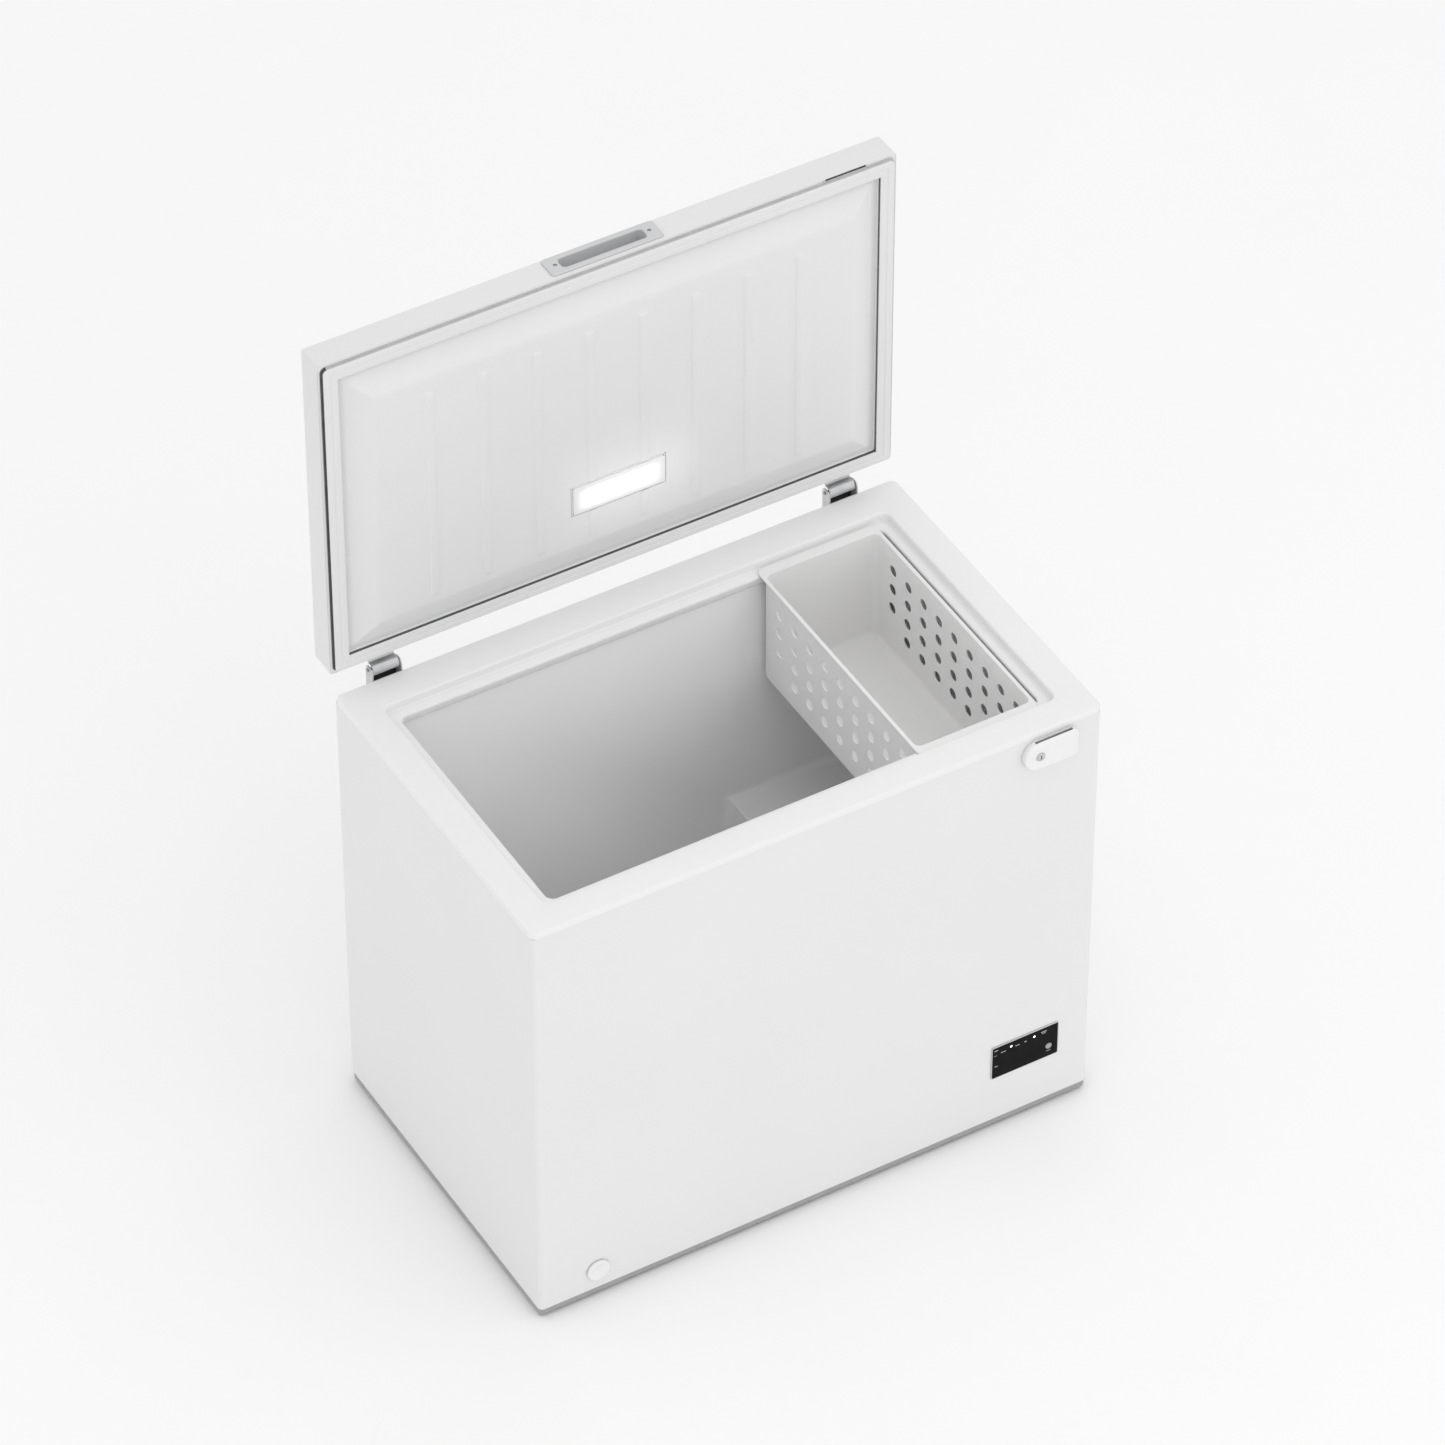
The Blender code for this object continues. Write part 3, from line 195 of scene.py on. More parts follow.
def finish(
    name, colour, roughness, tone, cloud, grain, bump, depth=0.0002, uneven=0.12, metallic=0.0,
    specular=0.5, coat=0.0, stretch=(1.0, 1.0, 1.0), crease_shade=0.0, crease_shade_size=0.012, glow=0.0,
    fade=None,
):
    """A surface with cloudy colour, uneven gloss, a fine grain and, where asked, painted shade in
    its creases.

    tone and uneven say how far colour and gloss vary, cloud and grain are the noises' scales, bump
    and depth the grain's strength and height. The crease share is how much colour a crease keeps:
    painted shade.
    fade holds how far in from its ends a glowing piece reaches full light, across and upwards.
    """
    material = bpy.data.materials.new("look_" + name)
    material.use_nodes = True
    tree = material.node_tree
    shader = tree.nodes["Principled BSDF"]
    socket(shader, "Metallic", metallic)
    socket(shader, "Specular IOR Level", specular)
    socket(shader, "Coat Weight", coat)
    socket(shader, "Coat Roughness", COAT_ROUGHNESS)
    coords = tree.nodes.new("ShaderNodeTexCoord")
    base = tree.nodes.new("ShaderNodeValToRGB")
    shares = (1.0 - tone, 1.0 + tone)
    for element, place, share in zip(base.color_ramp.elements, NOISE_MIDDLE, shares):
        element.position = place
        element.color = (*[min(1.0, c * share) for c in colour], 1.0)
    wire(tree, noise(tree, coords, cloud, 4.0), "Fac", base, "Fac")
    # painted shade: the colour is darkened where the occlusion node finds surfaces close by
    if crease_shade:
        occlusion = tree.nodes.new("ShaderNodeAmbientOcclusion")
        occlusion.samples = 8
        socket(occlusion, "Distance", crease_shade_size)
        shade = remapped(tree, occlusion, "AO", CREASE_SHADE_RANGE, (crease_shade, 1.0))
        shaded_base = multiplier(tree)
        wire(tree, base, "Color", shaded_base, "A")
        wire(tree, shade, "Result", shaded_base, "B")
        wire(tree, shaded_base, "Result", shader, "Base Color")
    else:
        wire(tree, base, "Color", shader, "Base Color")
    patches = noise(tree, coords, cloud * 7.0, 5.0, stretch)
    ends = (roughness * (1.0 - uneven), roughness * (1.0 + uneven))
    gloss = remapped(tree, patches, "Fac", NOISE_MIDDLE, ends)
    wire(tree, gloss, "Result", shader, "Roughness")
    relief = tree.nodes.new("ShaderNodeBump")
    socket(relief, "Strength", bump)
    socket(relief, "Distance", depth)
    wire(tree, noise(tree, coords, grain, 2.0, stretch), "Fac", relief, "Height")
    wire(tree, relief, "Normal", shader, "Normal")
    if glow:
        socket(shader, "Emission Color", (*colour, 1.0))
        socket(shader, "Emission Strength", glow)
    if fade:
        wire(tree, faded(tree, coords, colour, fade), "Result", shader, "Emission Color")
    return material


BRUSHED = (1.0, 24.0, 24.0)
PAINT = dict(uneven=0.05, coat=0.12, crease_shade=0.88)
FINISHES = (    # name, colour, roughness, tone, cloud, grain, bump and what else it needs
    ("white_steel", (0.810, 0.811, 0.808), 0.36, 0.008, 3.0, 900, 0.06, PAINT),
    # the cabinet's paint again, painted darker for the lid as shade
    ("lid_steel", (0.775, 0.776, 0.774), 0.36, 0.008, 3.0, 900, 0.06, PAINT),
    ("white_plastic", (0.870, 0.871, 0.869), 0.46, 0.008, 5.0, 1500, 0.12, dict(crease_shade=0.75)),
    ("liner_white", (0.80, 0.801, 0.802), 0.44, 0.012, 5.0, 700, 0.08, dict(crease_shade=0.9)),
    ("lid_liner_white", (0.80, 0.801, 0.801), 0.50, 0.012, 5.0, 900, 0.12,
     dict(crease_shade=0.84, crease_shade_size=0.016)),
    ("basket_white", (0.845, 0.842, 0.838), 0.46, 0.015, 5.0, 1200, 0.12, dict(crease_shade=0.85)),
    ("gasket_white", (0.79, 0.791, 0.79), 0.62, 0.015, 5.0, 1800, 0.18, dict(crease_shade=0.88)),
    ("foam_cream", (0.78, 0.70, 0.52), 0.92, 0.10, 60, 700, 0.8, dict(depth=0.001)),
    ("silver_plastic", (0.63, 0.635, 0.64), 0.38, 0.03, 5.0, 2400, 0.15,
     dict(metallic=0.2, crease_shade=0.75)),
    ("zinc_steel", (0.62, 0.625, 0.63), 0.44, 0.08, 70, 500, 0.05,
     dict(metallic=0.8, stretch=BRUSHED)),
    ("spring_steel", (0.36, 0.36, 0.37), 0.30, 0.08, 60, 900, 0.05,
     dict(metallic=1.0, stretch=BRUSHED)),
    ("copper", (0.76, 0.38, 0.24), 0.30, 0.15, 45, 700, 0.05, dict(metallic=1.0)),
    ("black_enamel", (0.022, 0.022, 0.023), 0.38, 0.25, 40, 600, 0.25, dict(coat=0.2)),
    ("black_rubber", (0.022, 0.022, 0.023), 0.80, 0.25, 60, 1600, 0.3, {}),
    ("black_gloss", (0.008, 0.008, 0.009), 0.20, 0.2, 30, 200, 0.02, dict(specular=0.05)),
    ("dark_plastic", (0.045, 0.045, 0.048), 0.55, 0.15, 30, 1400, 0.35, {}),
    ("foot_grey", (0.10, 0.10, 0.105), 0.70, 0.15, 60, 1200, 0.3, {}),
    ("grey_plastic", (0.36, 0.365, 0.37), 0.45, 0.05, 60, 1800, 0.15, {}),
    ("board_green", (0.03, 0.16, 0.08), 0.45, 0.2, 180, 900, 0.05, {}),
    ("light_guide", (0.82, 0.92, 1.0), 0.22, 0.03, 300, 900, 0.05, dict(glow=2.2)),
    ("lamp_lens", (0.83, 0.832, 0.834), 0.40, 0.01, 5.0, 260, 0.2,
     dict(glow=0.50, fade=(0.16, 0.34))),
    ("print_grey", (0.46, 0.465, 0.47), 0.50, 0.05, 400, 2400, 0.05, {}),
    ("pale_grey", (0.60, 0.602, 0.60), 0.48, 0.04, 60, 1800, 0.15, dict(crease_shade=0.8)),
)
LOOKS = {name: finish(name, *basics, **others) for name, *basics, others in FINISHES}


# ---- building pieces ----
def rectangle(low, high, radius):
    return (low[0], high[0], low[1], high[1], radius)


def front_rect(low, high, radius):
    """The rectangle that a box fills seen from the front, about its own middle."""
    half = (high - low) / 2
    return (-half.x, half.x, -half.z, half.z, radius)


def grown(rect, by):
    x0, x1, y0, y1, radius = rect
    return (x0 - by, x1 + by, y0 - by, y1 + by, max(radius + by, 0.0003))


def ring(rect, height, steps=8):
    """A rounded rectangle at a height, anticlockwise."""
    x0, x1, y0, y1, radius = rect
    corners = ((x1, y0, -1, 1, -90), (x1, y1, -1, -1, 0), (x0, y1, 1, -1, 90), (x0, y0, 1, 1, 180))
    points = []
    for corner_x, corner_y, way_x, way_y, start in corners:
        for i in range(steps + 1):
            angle = math.radians(start + 90 * i / steps)
            x = corner_x + way_x * radius + radius * math.cos(angle)
            y = corner_y + way_y * radius + radius * math.sin(angle)
            points.append(Vector((x, y, height)))
    return points


def rounded_corner(before, here, after, radius, steps):
    into, out = (before - here).normalized(), (after - here).normalized()
    half = into.angle(out) / 2
    straight = half > 1.56
    if radius < 1e-6 or straight:
        return [here]
    reach = radius / math.tan(half)
    centre = here + (into + out).normalized() * (radius / math.sin(half))
    start = (here + into * reach - centre).normalized()
    end = (here + out * reach - centre).normalized()
    return [centre + start.slerp(end, i / steps) * radius for i in range(steps + 1)]


def section_rings(points, closed, steps, corner_steps):
    """Rings of a cross-section whose points are (at, rectangle, offset, height, radius).

    at is where the rectangle lies along the section, so that corners are rounded at true size.
    """
    places = [Vector((at + offset, height)) for at, rect, offset, height, radius in points]
    rings = []
    last = len(points) - 1
    for i, (at, rect, offset, height, radius) in enumerate(points):
        if not closed and i in (0, last):
            spots = [places[i]]
        else:
            after = places[(i + 1) % len(points)]
            spots = rounded_corner(places[i - 1], places[i], after, radius, steps)
        rings += [ring(grown(rect, at - spot.x), spot.y, corner_steps) for spot in spots]
    return rings


def bridge(shape, rows, looped=False):
    """Faces from each row of points to the next; a looped row's end meets its start."""
    if looped:
        rows = [row + row[:1] for row in rows]
    for near, far in zip(rows, rows[1:]):
        for i in range(len(near) - 1):
            shape.faces.new((near[i], near[i + 1], far[i + 1], far[i]))


def loft(rings, closed=False, caps=False):
    """Faces from each ring to the next, and from the last to the first or over both ends."""
    shape = bmesh.new()
    loops = [[shape.verts.new(point) for point in points] for points in rings]
    bridge(shape, loops + loops[:1] if closed else loops, looped=True)
    if caps:
        shape.faces.new(loops[0][::-1])
        shape.faces.new(loops[-1])
    bmesh.ops.remove_doubles(shape, verts=shape.verts, dist=MERGE)
    bmesh.ops.recalc_face_normals(shape, faces=shape.faces)
    return shape


def swept(points, closed, steps=4, corner_steps=8):
    """A cross-section carried round its rectangles: a closed frame, or a plate with both ends."""
    return loft(section_rings(points, closed, steps, corner_steps), closed=closed, caps=not closed)


def rounded_plate(rect, back, front, radius, inset, steps=4):
    """A plate whose edges are rounded at the front."""
    points = [
        (0.0, rect, 0.0, back, 0.0),
        (0.0, rect, 0.0, front, radius),
        (inset, grown(rect, -inset), 0.0, front, 0.0),
    ]
    return swept(points, False, steps)


def strip(rings, picks):
    """A closed cross-section carried along some of the rings' points, with closed ends."""
    shape = bmesh.new()
    rows = [[shape.verts.new(points[i]) for i in picks] for points in rings]
    bridge(shape, rows + rows[:1])
    shape.faces.new([row[0] for row in rows])
    shape.faces.new([row[-1] for row in rows])
    bmesh.ops.recalc_face_normals(shape, faces=shape.faces)
    return shape


def turned(profile, steps=40):
    """A profile of (radius, height) points turned about Z; it starts and ends on the axis."""
    angles = [math.tau * i / steps for i in range(steps)]
    return loft([
        [(radius * math.cos(angle), radius * math.sin(angle), height) for angle in angles]
        for radius, height in profile
    ])


def plain_box(low, high):
    shape = bmesh.new()
    bmesh.ops.create_cube(shape, size=1.0)
    low, high = Vector(low), Vector(high)
    bmesh.ops.scale(shape, vec=high - low, verts=shape.verts)
    bmesh.ops.translate(shape, vec=(low + high) / 2, verts=shape.verts)
    return shape


def soft_box(low, high, radius):
    shape = plain_box(low, high)
    edges = list(shape.edges)
    bmesh.ops.bevel(shape, geom=edges, offset=radius, segments=3, profile=0.5, affect="EDGES")
    return shape


def rod(centre, radius, length, axis, segments=24):
    """A cutter's cylinder along X, Y or Z."""
    shape = bmesh.new()
    bmesh.ops.create_cone(
        shape, cap_ends=True, segments=segments, radius1=radius, radius2=radius, depth=length
    )
    if axis != "Z":
        turn = Matrix.Rotation(math.radians(90), 3, "Y" if axis == "X" else "X")
        bmesh.ops.rotate(shape, cent=(0, 0, 0), matrix=turn, verts=shape.verts)
    bmesh.ops.translate(shape, vec=centre, verts=shape.verts)
    return shape


def merged(*shapes):
    """Several shapes in one mesh."""
    whole = bmesh.new()
    for shape in shapes:
        mesh = bpy.data.meshes.new("part")
        shape.to_mesh(mesh)
        shape.free()
        whole.from_mesh(mesh)
        bpy.data.meshes.remove(mesh)
    return whole


def moved(shape, matrix):
    """The shape itself, after the move."""
    bmesh.ops.transform(shape, matrix=matrix, verts=shape.verts)
    return shape


def facing(x, y, z, turn):
    """The matrix that turns a piece about the origin and takes it to a point."""
    return Matrix.Translation((x, y, z)) @ turn


def linked(name, data):
    obj = bpy.data.objects.new(name, data)
    bpy.context.scene.collection.objects.link(obj)
    return obj


def to_object(name, shape, matrix=None, sharp=SHARP_ANGLE):
    mesh = bpy.data.meshes.new(name)
    if matrix:
        moved(shape, matrix)
    shape.to_mesh(mesh)
    shape.free()
    mesh.shade_smooth()
    mesh.set_sharp_from_angle(angle=math.radians(sharp))
    return linked(name, mesh)


def cut(obj, shape, matrix=None):
    """Cut a shape out of the piece for good."""
    tool = to_object(obj.name + "_tool", shape, matrix)
    step = obj.modifiers.new("cut", "BOOLEAN")
    step.operation = "DIFFERENCE"
    step.solver = "EXACT"
    step.object = tool
    bpy.context.view_layer.update()
    graph = bpy.context.evaluated_depsgraph_get()
    mesh = bpy.data.meshes.new_from_object(obj.evaluated_get(graph))
    obj.modifiers.clear()
    obj.data = mesh
    bpy.data.objects.remove(tool, do_unlink=True)
    obj.data.shade_smooth()
    obj.data.set_sharp_from_angle(angle=math.radians(SHARP_ANGLE))


def wear(obj, body, look, *nodes, slot=None):
    """Finish the piece, let it ride on its body and stand for the CAD nodes."""
    obj.data.materials.clear()
    obj.data.materials.append(LOOKS[look])
    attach(obj, body)
    if nodes:
        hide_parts(*nodes)


def thicken(obj, thickness, offset, even=True):
    """Give a surface its sheet's thickness."""
    sheet = obj.modifiers.new("sheet", "SOLIDIFY")
    sheet.thickness = thickness
    sheet.offset = offset
    sheet.use_even_offset = even


def soften(obj, width, segments, angle):
    bevel = obj.modifiers.new("soft_edges", "BEVEL")
    bevel.width = width
    bevel.segments = segments
    bevel.limit_method = "ANGLE"
    bevel.angle_limit = math.radians(angle)


# ---- stage ----
def make_camera():
    data = bpy.data.cameras.new("view")
    data.lens = LENS
    data.sensor_width = SENSOR
    data.clip_end = 100.0
    camera = linked("view", data)
    back = Vector((
        math.sin(AZIMUTH) * math.cos(ELEVATION),
        -math.cos(AZIMUTH) * math.cos(ELEVATION),
        math.sin(ELEVATION),
    ))
    camera.location = TARGET + back * DISTANCE
    camera.rotation_euler = (-back).to_track_quat("-Z", "Y").to_euler()
    bpy.context.scene.camera = camera


def make_light(name, at, aim, size, power):
    data = bpy.data.lights.new(name, "AREA")
    data.shape = "RECTANGLE"
    data.size, data.size_y = size
    data.energy = power
    light = linked(name, data)
    light.location = at
    light.rotation_euler = (Vector(aim) - Vector(at)).to_track_quat("-Z", "Y").to_euler()
    return light


def make_stage():
    world = bpy.data.worlds.new("studio")
    bpy.context.scene.world = world
    world.use_nodes = True
    background = world.node_tree.nodes["Background"]
    socket(background, "Color", (1.0, 1.0, 1.0, 1.0))
    socket(background, "Strength", WORLD_STRENGTH)
    shape = bmesh.new()
    bmesh.ops.create_grid(shape, x_segments=1, y_segments=1, size=20.0)
    floor = to_object("floor", shape)
    floor.data.materials.append(finish("floor", (0.985, 0.985, 0.985), 0.90, 0.004, 2.0, 200, 0.05))
    middle = (0.0, 0.0, 0.5)
    make_light("overhead", (0.8, -1.8, 6.0), middle, (6.0, 6.0), OVERHEAD_WATTS)
    make_light("front_fill", (0.4, -6.0, 1.3), middle, (5.0, 2.2), FRONT_WATTS)
    bpy.context.scene.view_settings.view_transform = "Standard"


# ---- cabinet ----
def make_shell():
    low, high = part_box("outer_shell")
    # the back edges are folded in, and the wrap is open between them
    folded = [(0.010, 0.0002), (0.002, 0.0002), (0.0, 0.002), (0.0, WRAP_FOLD)]
    steps = 10
    outline = ring(rectangle(low, high, WRAP_CORNER), 0.0, steps)
    front_corners = outline[-steps - 1:] + outline[:steps + 1]
    path = [(low.x + x, high.y - y) for x, y in folded] + [(low.x, 0.0)]
    path += [(p.x, p.y) for p in front_corners]
    path += [(high.x, 0.0)] + [(high.x - x, high.y - y) for x, y in folded[::-1]]
    shape = bmesh.new()
    heights = (low.z, low.z + 0.012, 0.25, 0.50, high.z - 0.010, high.z)
    rows = [[shape.verts.new((x, y, z)) for x, y in path] for z in heights]
    bridge(shape, rows)
    # tabs close the square back corners under the trim's round ones
    shape.faces.new(rows[-1][:len(folded)])
    shape.faces.new(rows[-1][-len(folded):])
    shell = to_object("cabinet_wrap", shape)
    thicken(shell, WRAP_SHEET, -1.0)
    cap_low, cap_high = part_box("drain_cap")
    cap = (cap_low + cap_high) / 2
    cut(shell, rod((cap.x, low.y, cap.z), 0.0095, 0.02, "Y"))
    bezel_low, bezel_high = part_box("control_bezel")
    edge, reach = 0.003, 0.01
    hole_low = (bezel_low.x + edge, low.y - reach, bezel_low.z + edge)
    hole_high = (bezel_high.x - edge, low.y + reach, bezel_high.z - edge)
    cut(shell, plain_box(hole_low, hole_high))
    wear(shell, "cabinet", "white_steel", "outer_shell")


def make_trim():
    low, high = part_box("top_frame")
    top = high.z
    outer = rectangle(low, high, TRIM_CORNER)
    rim = (low.x + FLAT, high.x - FLAT, low.y + FLAT, high.y - FLAT_BACK, RIM_CORNER)
    mouth = (*[a + b for a, b in zip(rim[:4], (LEDGE, -LEDGE, LEDGE, -LEDGE))], RIM_CORNER)
    at_rim, at_mouth = FLAT, FLAT + LEDGE
    lip, ledge, wall = top - 0.010, top - LEDGE_DROP, TRIM_WALL
    thin = 0.0006           # the skirt in the tub tapers to this
    points = [
        (0.0, outer, 0.0, lip, 0.0006),
        (0.0, outer, 0.0, top, 0.0030),
        (at_rim, rim, 0.0, top, 0.0040),
        (at_rim, rim, 0.0, ledge, 0.0030),
        (at_mouth, mouth, 0.0, ledge, 0.0042),
        (at_mouth, mouth, -(wall - thin), low.z, 0.0002),
        (at_mouth, mouth, -wall, low.z, 0.0002),
        (at_mouth, mouth, -wall, ledge - wall, 0.0),
        (at_rim, rim, -wall, ledge - wall, 0.0),
        (at_rim, rim, -wall, top - wall, 0.0),
        (0.0, outer, wall, top - wall, 0.0),
        (0.0, outer, wall, lip, 0.0006),
    ]
    trim = to_object("rim_trim", swept(points, True, 4, 10))
    wear(trim, "cabinet", "white_plastic", "top_frame")


def make_tub():
    low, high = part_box("inner_liner")
    x0, x1 = low.x + TUB_SHEET, high.x - TUB_SHEET
    y0, y1 = low.y + TUB_SHEET, high.y - TUB_SHEET
    floor, top = low.z + TUB_SHEET, high.z
    corners = ((x0, top), (x0, floor), (STEP_X, floor))
    corners += ((STEP_X, STEP_TOP), (x1, STEP_TOP), (x1, top))
    shape = bmesh.new()
    sides = [[shape.verts.new((x, y, z)) for x, z in corners] for y in (y0, y1)]
    bridge(shape, sides)
    shape.faces.new(sides[0])
    shape.faces.new(sides[1][::-1])
    bmesh.ops.recalc_face_normals(shape, faces=shape.faces)
    # the step's own edge is only slightly rounded, by soften below: the foam lies close behind it
    def at_step(vertex):
        return abs(vertex.co.x - STEP_X) + abs(vertex.co.z - STEP_TOP) < 0.001

    inner_edges = [edge for edge in shape.edges if len(edge.link_faces) == 2]
    chosen = [edge for edge in inner_edges if not all(at_step(vertex) for vertex in edge.verts)]
    bmesh.ops.bevel(
        shape, geom=chosen, offset=TUB_RADIUS, segments=7, profile=0.5, affect="EDGES",
        clamp_overlap=False,
    )
    tub = to_object("tub", shape, sharp=40)
    soften(tub, 0.002, 3, 70)
    thicken(tub, TUB_SHEET, 1.0)
    wear(tub, "cabinet", "liner_white", "inner_liner")


def make_feet():
    tread, neck = 0.0180, 0.0100
    profile = [
        (0.0, 0.0), (tread - 0.0020, 0.0), (tread - 0.0005, 0.0008), (tread, 0.0022),
        (tread, 0.0060), (tread - 0.0008, 0.0072), (neck + 0.0010, 0.0080), (neck, 0.0088),
        (neck, 0.0176), (0.0, 0.0176),
    ]
    for name in ("foot_front_left", "foot_front_right", "foot_back_left", "foot_back_right"):
        low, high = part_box(name)
        centre = (low + high) / 2
        place = Matrix.Translation((centre.x, centre.y, low.z))
        foot = to_object(name + "_pad", turned(profile), place)
        wear(foot, "cabinet", "foot_grey", name)


def screw_head(radius):
    """A domed head round the origin with a cross recess, facing +Z."""
    rise, sink = radius * 0.35, -0.0004
    profile = [
        (0.0, sink), (radius, sink), (radius, rise * 0.25), (radius * 0.85, rise * 0.7),
        (radius * 0.5, rise), (0.0, rise),
    ]
    head = to_object("screw_blank", turned(profile, 24))
    long, short = radius * 0.55, radius * 0.11
    for x, y in ((long, short), (short, long)):
        cut(head, plain_box((-x, -y, rise * 0.3), (x, y, rise * 2)))
    shape = bmesh.new()
    shape.from_mesh(head.data)
    bpy.data.objects.remove(head, do_unlink=True)
    return shape


FRONT = Matrix.Rotation(math.radians(90), 4, "X")       # a piece's +Z faces the front, its +Y up
REAR = Matrix.Rotation(math.radians(180), 4, "Z") @ FRONT


def make_rear_cover():
    low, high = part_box("rear_cover")
    middle_x, middle_z = (low.x + high.x) / 2, (low.z + high.z) / 2
    plate = rounded_plate(front_rect(low, high, 0.006), 0.0, high.y - low.y, 0.0008, 0.010)
    cover = to_object("bay_cover", plate)
    half_slot, slot_height = 0.095, 0.009
    for row in range(VENT_ROWS):
        z = VENT_FIRST + VENT_PITCH * row - middle_z
        slot = (-half_slot, half_slot, z, z + slot_height, 0.0042)
        cut(cover, loft([ring(slot, -0.01, 5), ring(slot, 0.01, 5)], caps=True))
    gland_low, gland_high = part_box("cord_gland")
    gland = (gland_low + gland_high) / 2
    cut(cover, rod((middle_x - gland.x, gland.z - middle_z, 0.0), 0.0042, 0.02, "Z", 32))
    cover.data.transform(facing(middle_x, low.y, middle_z, REAR))
    wear(cover, "cabinet", "dark_plastic", "rear_cover")
    corner_in = 0.008
    heads = [
        moved(screw_head(0.0035), facing(x, high.y, z, REAR))
        for x in (low.x + corner_in, high.x - corner_in)
        for z in (low.z + corner_in, high.z - corner_in)
    ]
    wear(to_object("bay_cover_screws", merged(*heads)), "cabinet", "zinc_steel")


def make_drain_cap():
    low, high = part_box("drain_cap")
    centre = (low + high) / 2
    radius = (high.x - low.x) / 2
    flange, stem, length = 0.005, 0.0066, 0.0158
    profile = [
        (0.0, -length), (stem - 0.0006, -length), (stem, -length + 0.0008), (stem, 0.0),
        (radius - 0.0004, 0.0), (radius, 0.0004), (radius, 0.0022), (radius - 0.0006, 0.0036),
        (radius - 0.0018, 0.0046), (radius - 0.0035, flange), (radius - 0.0050, 0.0046),
        (radius - 0.0060, 0.0040), (0.0, 0.0040),
    ]
    cap = to_object("drain_plug_cap", turned(profile, 56))
    cap.data.transform(facing(centre.x, low.y + flange, centre.z, FRONT))
    wear(cap, "drain_plug", "white_plastic", "drain_cap")


# ---- control panel ----
def make_controls():
    low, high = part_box("control_bezel")
    centre = (low + high) / 2
    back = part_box("outer_shell")[0].y - 0.0003
    depth = back - low.y
    at = facing(centre.x, back, centre.z, FRONT)
    rect = front_rect(low, high, 0.0030)
    rim, body_in, seat_in = 0.0012, 0.0035, 0.0055
    inner = grown(rect, -rim - 0.0001)
    body = grown(rect, -body_in)
    seat = grown(body, body_in - seat_in)
    seat_height, end = depth - 0.0011, back - high.y
    points = [
        (0.0, rect, 0.0, 0.0, 0.0),
        (0.0, rect, 0.0, depth, 0.0005),
        (rim, inner, 0.0, depth, 0.0003),
        (rim, inner, 0.0, seat_height, 0.0),
        (seat_in, seat, 0.0, seat_height, 0.0),
        (seat_in, seat, 0.0, end, 0.0),
        (body_in, body, 0.0, end, 0.0),
        (body_in, body, 0.0, 0.0, 0.0),
    ]
    bezel = to_object("panel_bezel", swept(points, True), at)
    wear(bezel, "cabinet", "pale_grey", "control_bezel", slot="grey_plastic")
    window_low, window_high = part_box("display_window")
    window_rect = (
        window_low.x - centre.x, window_high.x - centre.x,
        window_low.z - centre.z, window_high.z - centre.z, 0.0022,
    )
    front, rear = back - window_low.y, back - window_high.y
    pane = rounded_plate(window_rect, rear, front, 0.0003, 0.004)
    window = to_object("panel_window", pane, at)
    clear, lamp_radius = 0.0003, 0.0020
    for name in ("power_light", "alarm_light"):
        lamp_low, lamp_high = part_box(name)
        lamp = (lamp_low + lamp_high) / 2
        cut(window, rod((lamp.x, low.y, lamp.z), lamp_radius + clear, 0.01, "Y"))
        length = lamp_high.y - lamp_low.y
        dome = [
            (0.0, -length), (lamp_radius, -length), (lamp_radius, -0.0006),
            (lamp_radius - 0.0004, -0.0002), (lamp_radius - 0.0012, 0.0), (0.0, 0.0),
        ]
        place = facing(lamp.x, lamp_low.y, lamp.z, FRONT)
        wear(to_object(name + "_dome", turned(dome, 24), place), "cabinet", "light_guide", name)
    button_low, button_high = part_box("set_button")
    button = (button_low + button_high) / 2
    radius = (button_high.x - button_low.x) / 2
    cut(window, rod((button.x, low.y, button.z), radius + clear, 0.01, "Y", 40))
    wear(window, "cabinet", "black_gloss", "display_window")
    length = button_high.y - button_low.y
    cap = [
        (0.0, -length), (radius, -length), (radius, -0.0008), (radius - 0.0003, -0.0002),
        (radius - 0.0010, 0.0), (radius - 0.0020, -0.0003), (0.0, -0.0004),
    ]
    place = facing(button.x, button_low.y, button.z, FRONT)
    button_cap = to_object("set_button_cap", turned(cap), place)
    wear(button_cap, "set_button", "grey_plastic", "set_button")
    # plain marks printed beside the lights and the button: middle x, z, length and height
    marks = (
        (0.3120, 0.1650, 0.007, 0.0016), (0.3250, 0.1570, 0.009, 0.0014),
        (0.3105, 0.1545, 0.005, 0.0008), (0.3500, 0.1585, 0.008, 0.0014),
        (0.3640, 0.1590, 0.004, 0.0018), (0.3968, 0.1638, 0.010, 0.0018),
        (0.3968, 0.1606, 0.007, 0.0012), (0.3125, 0.1315, 0.006, 0.0014),
        (0.4060, 0.1195, 0.008, 0.0010),
    )
    sunk, raised = -window_low.y - 0.0002, -window_low.y + 0.00008
    prints = []
    for x, z, length, tall in marks:
        rect = (x - length / 2, x + length / 2, -tall / 2, tall / 2, tall * 0.4)
        bar = loft([ring(rect, sunk, 3), ring(rect, raised, 3)], caps=True)
        prints.append(moved(bar, facing(0.0, 0.0, z, FRONT)))
    wear(to_object("panel_marks", merged(*prints)), "cabinet", "print_grey", slot="grey_plastic")


